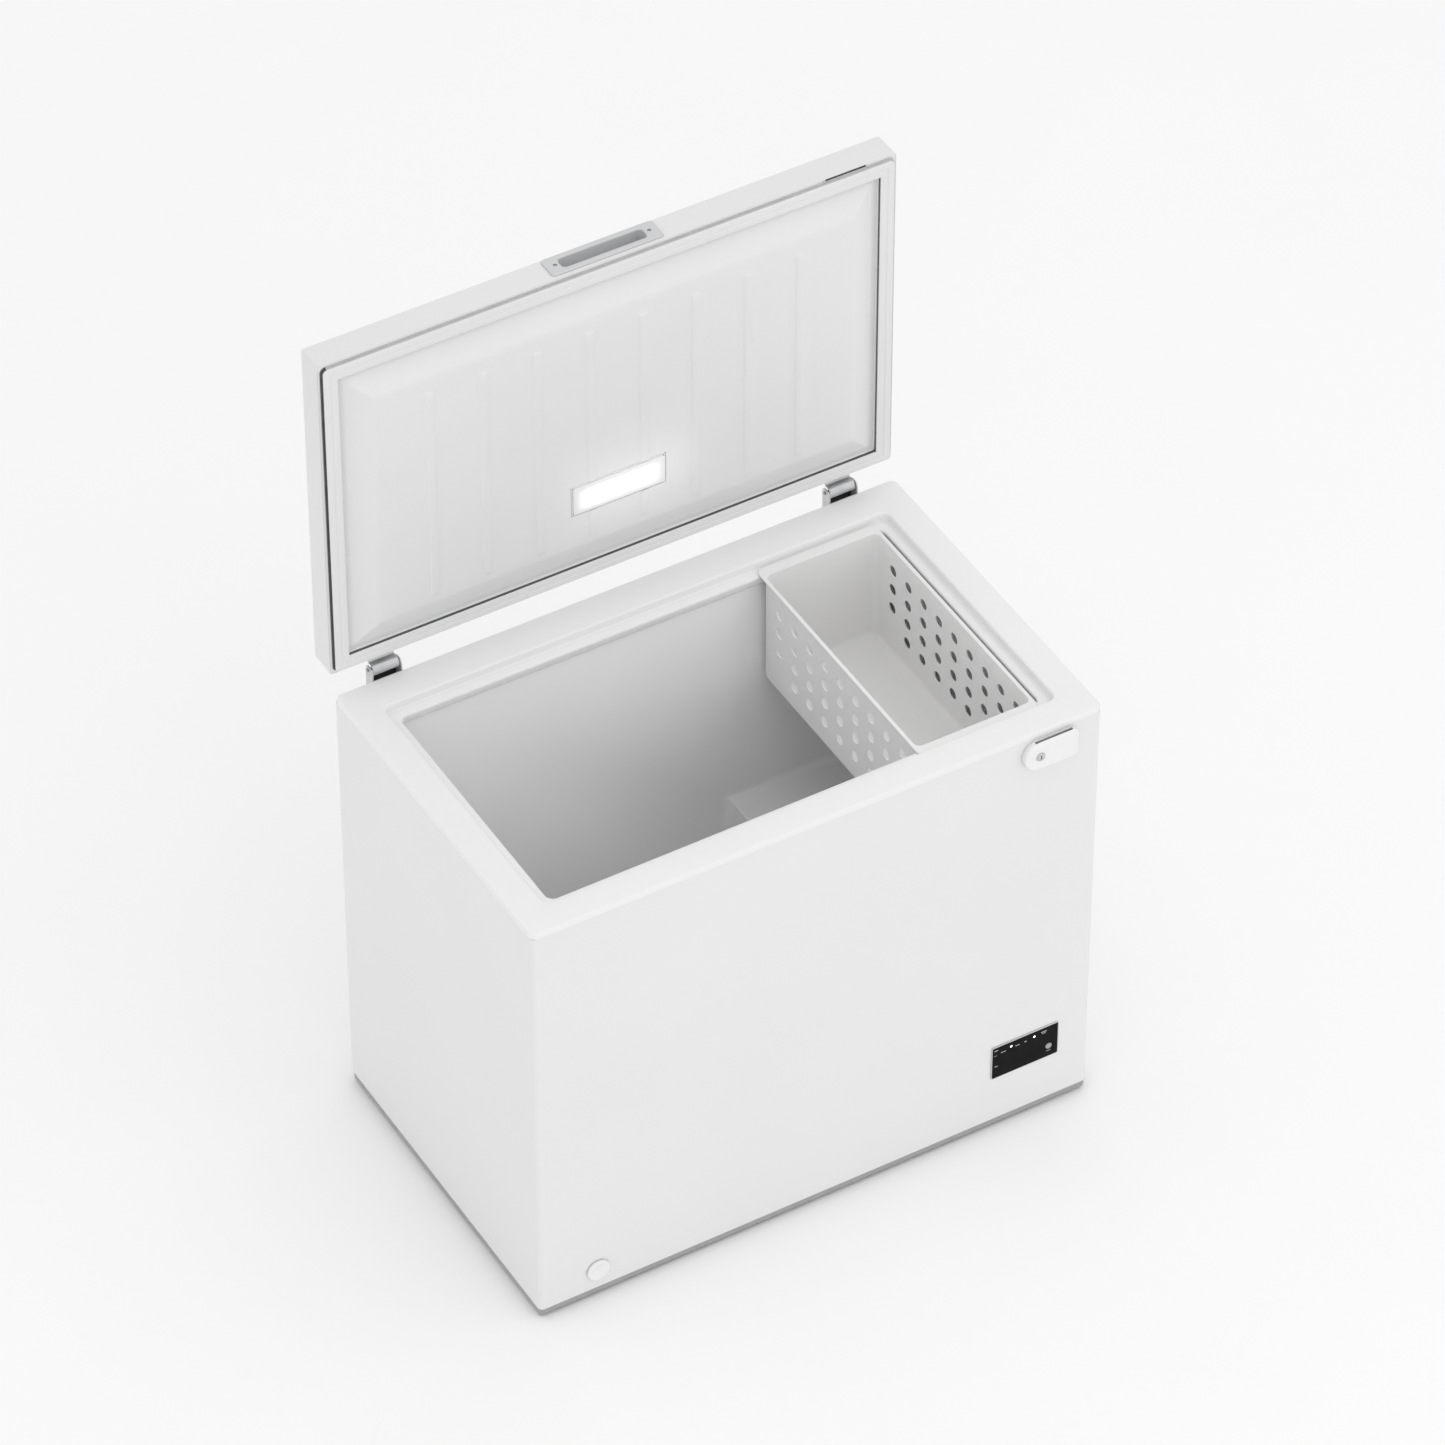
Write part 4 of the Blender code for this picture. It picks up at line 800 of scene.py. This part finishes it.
# ---- lock ----
def housing_ring(centre, radius, right, inset, height):
    """The lock housing's outline, round on the left and rounded square on the right."""
    corner = 0.010 - inset
    reach = radius - inset
    corner_x = right - inset - corner
    arcs = [(centre[0], centre[1], reach, 90, 180, 24)]
    for way, start in ((-1, 270), (1, 0)):
        arcs.append((corner_x, centre[1] + way * (reach - corner), corner, start, 90, 8))
    points = []
    for x, y, arc_radius, start, sweep, steps in arcs:
        for i in range(steps + 1):
            angle = math.radians(start + sweep * i / steps)
            spot = (x + arc_radius * math.cos(angle), y + arc_radius * math.sin(angle), height)
            points.append(Vector(spot))
    return points


def make_lock():
    low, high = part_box("lock_housing")
    cylinder_low, cylinder_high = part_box("lock_cylinder")
    middle = (cylinder_low + cylinder_high) / 2
    radius, depth, soft = (high.z - low.z) / 2, high.y - low.y, 0.0028
    steps = [math.radians(90 * i / 6) for i in range(7)]
    insets = [(0.0, 0.0)]
    insets += [(soft * (1 - math.cos(a)), depth - soft + soft * math.sin(a)) for a in steps]
    rings = [
        housing_ring((middle.x, middle.z), radius, high.x, inset, height)
        for inset, height in insets
    ]
    housing = to_object("lock_case", loft(rings, caps=True), facing(0.0, high.y, 0.0, FRONT))
    hook_low, hook_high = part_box("lock_hook")
    clear, wall, reach = 0.0015, 0.003, 0.01
    front, rear = hook_low.y - clear, hook_high.y + clear
    # the hollow behind, the slot in the top for the turning hook, the hole for the cylinder
    hollow, slot_start, slot_end = 0.012, 0.0065, 0.0580
    cut(housing, plain_box((middle.x - hollow, front, middle.z - hollow),
                           (high.x - wall, high.y + reach, high.z - wall)))
    cut(housing, plain_box((middle.x - slot_start, front, middle.z),
                           (middle.x + slot_end, rear, high.z + reach)))
    cut(housing, rod((middle.x, low.y, middle.z), 0.0073, 0.02, "Y", 48))
    wear(housing, "cabinet", "white_plastic", "lock_housing")
    face = cylinder_low.y
    length = cylinder_high.y - face
    core = 0.0070
    profile = [
        (0.0, -length), (core, -length), (core, -0.0012), (core - 0.0004, -0.0004),
        (core - 0.0012, 0.0), (core - 0.0022, -0.0002), (core - 0.0026, -0.0006), (0.0, -0.0006),
    ]
    place = facing(middle.x, face, middle.z, FRONT)
    barrel = to_object("lock_barrel", turned(profile, 48), place)
    key_x, key_z = 0.0010, 0.0038
    cut(barrel, plain_box((middle.x - key_x, face - reach, middle.z - key_z),
                          (middle.x + key_x, face + 0.004, middle.z + key_z)))
    wear(barrel, "lock", "zinc_steel", "lock_cylinder")


# ---- lid ----
def lid_turn():
    """From the closed layout to the open rest pose."""
    joint = next(j for j in FRAME["joints"] if j["name"] == "lid_hinge")
    at = Vector(joint["pos_m"])
    swing = Matrix.Rotation(math.radians(-90), 4, "X")
    return Matrix.Translation(at) @ swing @ Matrix.Translation(-at)


def closed_box(node):
    """The box of a lid node as it lies with the lid closed."""
    low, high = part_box(node)
    back = LID_TURN.inverted()
    ends = [back @ low, back @ high]
    low = Vector([min(a, b) for a, b in zip(*ends)])
    high = Vector([max(a, b) for a, b in zip(*ends)])
    return low, high


def make_lid_shell():
    low, high = closed_box("lid_cover")
    rect = rectangle(low, high, LID_EDGE)
    wall, cap_in = LID_SHEET, 0.020
    inside, cap = grown(rect, -wall), grown(rect, -cap_in)
    points = [
        (cap_in, cap, 0.0, high.z - wall, 0.0),
        (wall, inside, 0.0, high.z - wall, LID_EDGE - wall),
        (wall, inside, 0.0, low.z, 0.0002),
        (0.0, rect, 0.0, low.z, 0.0004),
        (0.0, rect, 0.0, high.z, LID_EDGE),
        (cap_in, cap, 0.0, high.z, 0.0),
    ]
    shell = to_object("lid_shell", swept(points, False, 6), LID_TURN)
    handle_low, handle_high = closed_box("handle")
    side, end, reach = 0.008, 0.003, 0.01
    hole_low = (handle_low.x + side, low.y - reach, handle_low.z + end)
    hole_high = (handle_high.x - side, low.y + reach, handle_high.z - end)
    cut(shell, plain_box(hole_low, hole_high), LID_TURN)
    # the lid wears the darker copy of the cabinet's paint: painted shade
    wear(shell, "lid", "lid_steel", "lid_cover", slot="white_steel")


def smooth_step(value, start, end):
    t = min(1.0, max(0.0, (value - start) / (end - start)))
    return t * t * (3.0 - 2.0 * t)


def soft_ramp(value, start, run, rise, blend=0.006):
    """A straight slope from 0 to rise with rounded foot and shoulder."""
    def eased(t):
        if t <= -blend:
            return 0.0
        if t >= blend:
            return t
        return (t + blend) ** 2 / (4 * blend)
    return rise / run * (eased(value - start) - eased(value - start - run))


def filled(stops, gap):
    """The sorted stops with more between them where they lie further apart than the gap."""
    stops = sorted(set(round(s, 5) for s in stops))
    out = []
    for a, b in zip(stops, stops[1:]):
        parts = max(1, math.ceil((b - a) / gap))
        out += [a + (b - a) * i / parts for i in range(parts)]
    return out + [stops[-1]]


def make_lid_inside():
    """The liner as a relief over the lid's plane, and the white pocket behind the lock's slot."""
    low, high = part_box("lid_cover")
    plane = low.y
    centre_z = (low.z + high.z) / 2
    half_x, half_z = (high.x - low.x) / 2, (high.z - low.z) / 2
    lamp_low, lamp_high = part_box("lamp_housing")
    lamp_x = lamp_high.x
    lamp_z = (lamp_low.z - centre_z, lamp_high.z - centre_z)
    slot_z = [half_z - inset for inset in LOCK_SLOT_IN]
    ribs = [(number - (RIBS - 1) / 2) * RIB_PITCH for number in range(RIBS)]
    rib_low, rib_high = RIB_ENDS
    edge, edge_run = 0.0016, 0.0016
    foot = GASKET_IN + GASKET_WIDTH
    # the groove inside the gasket: where it starts, is deep from, is deep until and ends
    groove = (foot + 0.0002, foot + 0.0014, 0.0340, 0.0430)
    rib_reach, rib_side, rib_fade = 0.009, (0.0052, 0.0078), 0.006
    lamp_side = (0.0001, 0.0009)

    def inset(x, z, radius=0.024):
        across, up = abs(x) - (half_x - radius), abs(z) - (half_z - radius)
        outside = math.hypot(max(across, 0.0), max(up, 0.0))
        return radius - outside - min(max(across, up), 0.0)

    def rise(x, z):
        e = inset(x, z)
        height = -0.0002 * (1.0 - smooth_step(e, edge, edge + edge_run))
        in_groove = smooth_step(e, *groove[:2]) * (1.0 - smooth_step(e, *groove[2:]))
        height -= 0.0019 * in_groove
        height += soft_ramp(e, PLUG_FOOT, PLUG_RUN, PLUG_RISE)
        along = smooth_step(z, rib_low, rib_low + rib_fade)
        along *= 1.0 - smooth_step(z, rib_high - rib_fade, rib_high)
        for rib in ribs:
            near = abs(x - rib)
            if near < rib_reach:
                height += 0.0015 * along * (1.0 - smooth_step(near, *rib_side))
        in_x = 1.0 - smooth_step(abs(x), *[lamp_x + side for side in lamp_side])
        in_z = smooth_step(z, *[lamp_z[0] - side for side in lamp_side[::-1]])
        in_z *= 1.0 - smooth_step(z, *[lamp_z[1] + side for side in lamp_side])
        return height - 0.0045 * in_x * in_z

    # the grid's lines lie close together where the relief bends
    bands = [0.0016, 0.0022, 0.0026, 0.0030, 0.0034, 0.0070, 0.0300, 0.0304, 0.0308, 0.0314, 0.0340]
    bands += [0.0366, 0.0374, 0.0382, 0.0390, 0.0400]
    bands += [0.0420 + 0.002 * i for i in range(21)]
    lamp_lines, rib_lines = (0.0001, 0.0004, 0.0009), (0.0052, 0.0058, 0.0065, 0.0072, 0.0078)
    ways = (-1, 1)
    stops_x = [way * (half_x - band) for band in bands for way in ways]
    stops_x += [rib + way * line for rib in ribs for way in ways for line in rib_lines]
    stops_x += [way * (lamp_x + line) for way in ways for line in lamp_lines]
    stops_x += LOCK_SLOT_X
    stops_z = [way * (half_z - band) for band in bands for way in ways]
    stops_z += [rib_low + 0.001 * i for i in range(7)] + [rib_high - 0.001 * i for i in range(7)]
    stops_z += [end + way * line for way, end in zip(ways, lamp_z) for line in lamp_lines]
    stops_z += slot_z[:1]
    xs, zs = filled(stops_x, 0.016), filled(stops_z, 0.016)
    shape = bmesh.new()
    rows = [[shape.verts.new((x, plane - rise(x, z), centre_z + z)) for x in xs] for z in zs]
    for j in range(len(zs) - 1):
        for i in range(len(xs) - 1):
            x, z = (xs[i] + xs[i + 1]) / 2, (zs[j] + zs[j + 1]) / 2
            if LOCK_SLOT_X[0] < x < LOCK_SLOT_X[1] and slot_z[0] < z < slot_z[1]:
                continue
            shape.faces.new((rows[j][i], rows[j][i + 1], rows[j + 1][i + 1], rows[j + 1][i]))
    liner = to_object("lid_inner_panel", shape, sharp=50)
    thicken(liner, 0.0018, -1.0, even=False)
    wear(liner, "lid", "lid_liner_white", "lid_liner")
    # the pocket's lining hides the foam and goes round the strike plate
    plate_low, plate_high = closed_box("strike_plate")
    wall, past_slot, deep = 0.0003, 0.0007, 0.0135
    low = Vector((plate_low.x - wall, plate_low.y, plate_low.z))
    high = Vector((LOCK_SLOT_X[1] + past_slot, plate_high.y - wall, plate_low.z + deep))
    lining = to_object("lock_slot_lining", plain_box(low, high))
    inner_low = Vector((low.x + wall, low.y + wall, low.z - wall))
    cut(lining, plain_box(inner_low, high - Vector((wall, wall, wall))))
    around = Vector((0.0001, 0.0001, 0.0001))
    cut(lining, plain_box(plate_low - around, plate_high + around))
    lining.data.transform(LID_TURN)
    wear(lining, "lid", "lid_liner_white")


def make_gasket():
    low, high = closed_box("lid_cover")
    face = low.z - 0.0003
    outer = grown(rectangle(low, high, 0.014), -GASKET_IN)
    inner = grown(outer, -GASKET_WIDTH)
    lip = face - 0.0046
    lip_end = lip - 0.0003
    recess, foot, plate = 0.0006, 0.0022, 0.0006
    toe, deep = recess + 0.002, face + 0.0016
    carrier = [
        (0.0, outer, -foot, face, 0.0),
        (0.0, outer, -foot, face - plate, 0.0002),
        (0.0, outer, recess, face - plate, 0.0),
        (0.0, outer, recess, lip_end, 0.0),
        (GASKET_WIDTH, inner, -recess, lip_end, 0.0),
        (GASKET_WIDTH, inner, -recess, deep, 0.0),
        (GASKET_WIDTH, inner, -toe, deep, 0.0),
        (GASKET_WIDTH, inner, -toe, face, 0.0),
    ]
    # the carrier is dark rubber, and made black to stand for the shade in the gaps beside the
    # gasket
    frame = to_object("gasket_shade_carrier", swept(carrier, True), LID_TURN)
    wear(frame, "lid", "foot_grey", slot="black_rubber")
    # a pale strip covers the black along the lid's top edge and round its right corner: a lit copy
    # of the carrier, painted lighter where light falls on it from above
    def off_carrier(gap):
        rim, shelf = recess - gap, face - plate - gap
        return [(-foot - gap, face), (-foot - gap, shelf), (rim, shelf), (rim, lip_end)]

    cover = off_carrier(0.0003) + off_carrier(0.00005)[::-1]
    rings = section_rings([(0.0, outer, x, z, 0.0) for x, z in cover], True, 4, 8)
    corner = len(rings[0]) // 4
    top = strip(rings, [-1, *range(corner)])
    wear(to_object("gasket_lit_top_strip", top, LID_TURN), "lid", "pale_grey", slot="gasket_white")
    middle = GASKET_WIDTH / 2
    mid_rect = grown(outer, -middle)
    bottom = face - GASKET_HEIGHT
    line, line_floor = 0.0008, bottom + 0.0008      # the line pressed into the pad
    pad = [
        (0.0, outer, 0.0, lip, 0.0006),
        (GASKET_WIDTH, inner, 0.0, lip, 0.0006),
        (GASKET_WIDTH, inner, 0.0, bottom, 0.0009),
        (middle, mid_rect, line * 2, bottom, 0.0003),
        (middle, mid_rect, line, line_floor, 0.0003),
        (middle, mid_rect, -line, line_floor, 0.0003),
        (middle, mid_rect, -line * 2, bottom, 0.0003),
        (0.0, outer, 0.0, bottom, 0.0009),
    ]
    soft = to_object("gasket_lip", swept(pad, True, 3), LID_TURN)
    wear(soft, "lid", "gasket_white", "lid_gasket")


def make_handle():
    low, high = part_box("handle")
    top = high.z
    back = top - 0.0025
    body_in, pocket_in, floor_in = 0.0085, 0.020, 0.026
    rect = rectangle(low, high, 0.0055)
    body = (low.x + body_in, high.x - body_in, low.y + 0.0035, high.y - 0.0035, 0.002)
    pocket = (-HANDLE_POCKET, HANDLE_POCKET, low.y + 0.0095, low.y + 0.0310, 0.0065)
    floor = low.z + 0.002
    points = [
        (body_in, body, 0.0, low.z, 0.0),
        (body_in, body, 0.0, back, 0.0),
        (0.0, rect, 0.0, back, 0.0),
        (0.0, rect, 0.0, top, 0.0018),
        (pocket_in, pocket, 0.0, top, 0.0026),
        (pocket_in, pocket, 0.0, floor, 0.0055),
        (floor_in, grown(pocket, pocket_in - floor_in), 0.0, floor, 0.0),
    ]
    handle = to_object("handle_grip", swept(points, False, 5))
    for name in ("handle_screw_left", "handle_screw_right"):
        screw_low, screw_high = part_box(name)
        screw = (screw_low + screw_high) / 2
        cut(handle, rod((screw.x, screw.y, top - 0.01), 0.0032, 0.04, "Z", 32))
        place = Matrix.Translation((screw.x, screw.y, screw_high.z - 0.0011))
        head = moved(screw_head(0.0030), place)
        shank = rod((screw.x, screw.y, screw.z - 0.001), 0.0016, 0.015, "Z", 16)
        wear(to_object(name + "_head", merged(head, shank)), "lid", "zinc_steel", name)
    wear(handle, "lid", "silver_plastic", "handle")


def make_lamp():
    low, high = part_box("lamp_lens")
    centre = (low + high) / 2
    plate = rounded_plate(front_rect(low, high, 0.004), 0.0, high.y - low.y, 0.0014, 0.006, 5)
    lens = to_object("lamp_cover", plate, facing(centre.x, high.y, centre.z, FRONT))
    wear(lens, "lid", "lamp_lens", "lamp_lens")
    # the light that falls on the liner round the lamp
    aim = (centre.x + 0.02, low.y, centre.z)
    source = (aim[0], aim[1] - 0.05, aim[2])
    light = make_light("lamp_spill", source, aim, (0.19, 0.08), LAMP_WATTS)
    light.parent = FRAME["bodies"]["lid"]
    low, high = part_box("lamp_housing")
    centre = (low + high) / 2
    rect = front_rect(low, high, 0.0022)
    deep = high.y - low.y
    wall, cap_in = 0.002, 0.006
    inner = grown(rect, -wall)
    floor = grown(inner, wall - cap_in)
    points = [
        (cap_in, floor, 0.0, wall - deep, 0.0),
        (wall, inner, 0.0, wall - deep, 0.0),
        (wall, inner, 0.0, 0.0, 0.0003),
        (0.0, rect, 0.0, 0.0, 0.0006),
        (0.0, rect, 0.0, -deep, 0.0),
        (cap_in, grown(rect, -cap_in), 0.0, -deep, 0.0),
    ]
    tray = to_object("lamp_tray", swept(points, False), facing(centre.x, low.y, centre.z, FRONT))
    wear(tray, "lid", "white_plastic", "lamp_housing")


# ---- hinges ----
def make_strap(side, pin):
    """A strip bent over the pin, then up to a plate under the lid's edge."""
    arm_low, arm_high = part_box(f"hinge_arm_{side}")
    thick, plate_thick = 0.0018, 0.002
    steps, start, end = 26, 255, 62
    angles = [math.radians(start - (start - end) * i / steps) for i in range(steps + 1)]
    outer_line, inner_line = [
        [(radius * math.cos(a), radius * math.sin(a)) for a in angles]
        for radius in (CURL_RADIUS, CURL_RADIUS - thick)
    ]
    rise = arm_high.z - pin.z - plate_thick
    outer_line += [(0.0085, 0.0120), (0.0120, rise)]
    inner_line += [(0.0068, 0.0118), (0.0102, rise)]
    outline = outer_line + inner_line[::-1]
    shape = bmesh.new()
    rows = [
        [shape.verts.new((x, pin.y + y, pin.z + z)) for y, z in outline]
        for x in (arm_low.x, arm_high.x)
    ]
    bridge(shape, rows, looped=True)
    for row in rows:
        half = len(row) // 2
        bridge(shape, [row[:half], row[:half - 1:-1]])
    bmesh.ops.recalc_face_normals(shape, faces=shape.faces)
    plate_z = arm_high.z - plate_thick
    plate = soft_box((arm_low.x, pin.y - 0.0005, plate_z), arm_high, 0.0008)
    under = Matrix.Rotation(math.radians(180), 4, "X")
    screw_in = 0.009
    heads = [
        moved(screw_head(0.0034), facing(x, arm_high.y - 0.010, plate_z, under))
        for x in (arm_low.x + screw_in, arm_high.x - screw_in)
    ]
    arm = to_object(f"hinge_strap_{side}", merged(shape, plate, *heads))
    wear(arm, "lid", "zinc_steel", f"hinge_arm_{side}")


def make_bracket(side, pin):
    """The plate on the cabinet's back, with a cheek at each side and a black block between them
    that stands for the shade inside the hinge.
    """
    base_low, base_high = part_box(f"hinge_base_{side}")
    thick = 0.002
    plate_back = base_low.y + thick
    pieces = [soft_box(base_low, (base_high.x, plate_back, BRACKET_TOP), 0.0007)]
    for x in (base_low.x, base_high.x - thick):
        rect = (base_low.y, base_high.y, CHEEK_LOW, base_high.z, 0.0075)
        cheek = loft([ring(rect, x, 6), ring(rect, x + thick, 6)], caps=True)
        # the ring's x, y and height become y, z and x
        for vertex in cheek.verts:
            vertex.co = Vector((vertex.co.z, vertex.co.x, vertex.co.y))
        bmesh.ops.recalc_face_normals(cheek, faces=cheek.faces)
        pieces.append(cheek)
    middle_x = (base_low.x + base_high.x) / 2
    apart = 0.014
    for x, z in ((middle_x - apart, 0.705), (middle_x + apart, 0.705), (middle_x, 0.732)):
        pieces.append(moved(screw_head(0.0042), facing(x, plate_back, z, REAR)))
    # painted shade: a black rubber block behind the strap's opening, dark to stand for the shade
    # inside the hinge
    shade_block_low = (base_low.x + thick, pin.y + 0.0045, SHADE_BLOCK_ENDS[0])
    shade_block_high = (base_high.x - thick, pin.y + 0.0065, SHADE_BLOCK_ENDS[1])
    shade_block = to_object(f"hinge_guard_{side}", plain_box(shade_block_low, shade_block_high))
    wear(shade_block, "cabinet", "black_rubber", slot="black_rubber")
    base = to_object(f"hinge_bracket_{side}", merged(*pieces))
    wear(base, "cabinet", "zinc_steel", f"hinge_base_{side}")


def make_hinge(side):
    pin_low, pin_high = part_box(f"hinge_pin_{side}")
    pin = (pin_low + pin_high) / 2
    make_strap(side, pin)
    make_bracket(side, pin)
    radius = (pin_high.z - pin_low.z) / 2
    half_pin = (pin_high.x - pin_low.x) / 2
    chamfer = 0.0006
    profile = [
        (0.0, -half_pin), (radius - chamfer, -half_pin), (radius, -half_pin + chamfer),
        (radius, half_pin - chamfer), (radius - chamfer, half_pin), (0.0, half_pin),
    ]
    along = Matrix.Translation(pin) @ Matrix.Rotation(math.radians(90), 4, "Y")
    rod_piece = to_object(f"hinge_rod_{side}", turned(profile, 32), along)
    wear(rod_piece, "cabinet", "spring_steel", f"hinge_pin_{side}")
    spring_low, spring_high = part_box(f"hinge_spring_{side}")
    wire_radius = 0.0008
    curve = bpy.data.curves.new(f"hinge_coil_{side}", "CURVE")
    curve.dimensions = "3D"
    curve.bevel_depth = wire_radius
    curve.bevel_resolution = 3
    curve.use_fill_caps = True
    spline = curve.splines.new("POLY")
    per_turn = 24
    count = COIL_TURNS * per_turn
    spline.points.add(count)
    start, end = spring_low.x + wire_radius, spring_high.x - wire_radius
    for i, point in enumerate(spline.points):
        angle = math.tau * i / per_turn
        y, z = COIL_RADIUS * math.cos(angle), COIL_RADIUS * math.sin(angle)
        point.co = (start + (end - start) * i / count, pin.y + y, pin.z + z, 1.0)
    coil = linked(f"hinge_coil_{side}", curve)
    wear(coil, "cabinet", "spring_steel", f"hinge_spring_{side}")


# ---- basket ----
def make_basket():
    low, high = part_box("basket")
    wall, rim_out, clear = 0.0022, 0.004, 0.0068
    liner_low, liner_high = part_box("inner_liner")
    x0, x1 = low.x + rim_out, high.x - rim_out
    body = (x0, x1, liner_low.y + clear, liner_high.y - clear, RIM_CORNER)
    rim = rectangle(low, high, RIM_CORNER)
    inside = grown(body, -wall)
    floor_in = 0.040
    floor = grown(inside, -floor_in)
    under = high.z - 0.0025
    at_body = 0.018
    points = [
        (at_body + floor_in, floor, wall, low.z + wall, 0.0),
        (at_body, inside, 0.0, low.z + wall, 0.0095),
        (at_body, inside, 0.0, high.z, 0.0012),
        (0.0, rim, 0.0, high.z, 0.0010),
        (0.0, rim, 0.0, under, 0.0010),
        (at_body - wall, body, 0.0, under, 0.0006),
        (at_body - wall, body, 0.0, low.z, 0.0115),
        (at_body + floor_in, floor, wall, low.z, 0.0),
    ]
    basket = to_object("basket_body", swept(points, False, 5, 12))
    # rows of holes through both long sides; the lowest row lacks its first and last
    holes = []
    middle = (x0 + x1) / 2
    for row in range(HOLE_ROWS):
        for column in range(HOLE_COLUMNS):
            if row == HOLE_ROWS - 1 and column in (0, HOLE_COLUMNS - 1):
                continue
            y = HOLE_FIRST[0] - HOLE_PITCH[0] * column
            z = HOLE_FIRST[1] - HOLE_PITCH[1] * row
            holes.append(rod((middle, y, z), HOLE_RADIUS, 0.25, "X", 28))
    cut(basket, merged(*holes))
    soften(basket, 0.0005, 2, 60)
    wear(basket, "basket", "basket_white", "basket")


# ---- the whole ----
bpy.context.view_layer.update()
LID_TURN = lid_turn()

for name, look in {m["node"]: m["material_slot"] for m in FRAME["record"]["subparts"]}.items():
    node = FRAME["nodes"][name]
    for held in node.material_slots:
        held.material = LOOKS[look]

make_camera()
make_stage()
make_shell()
make_trim()
make_tub()
make_feet()
make_rear_cover()
make_drain_cap()
make_controls()
make_lock()
make_lid_shell()
make_lid_inside()
make_gasket()
make_handle()
make_lamp()
make_hinge("left")
make_hinge("right")
make_basket()
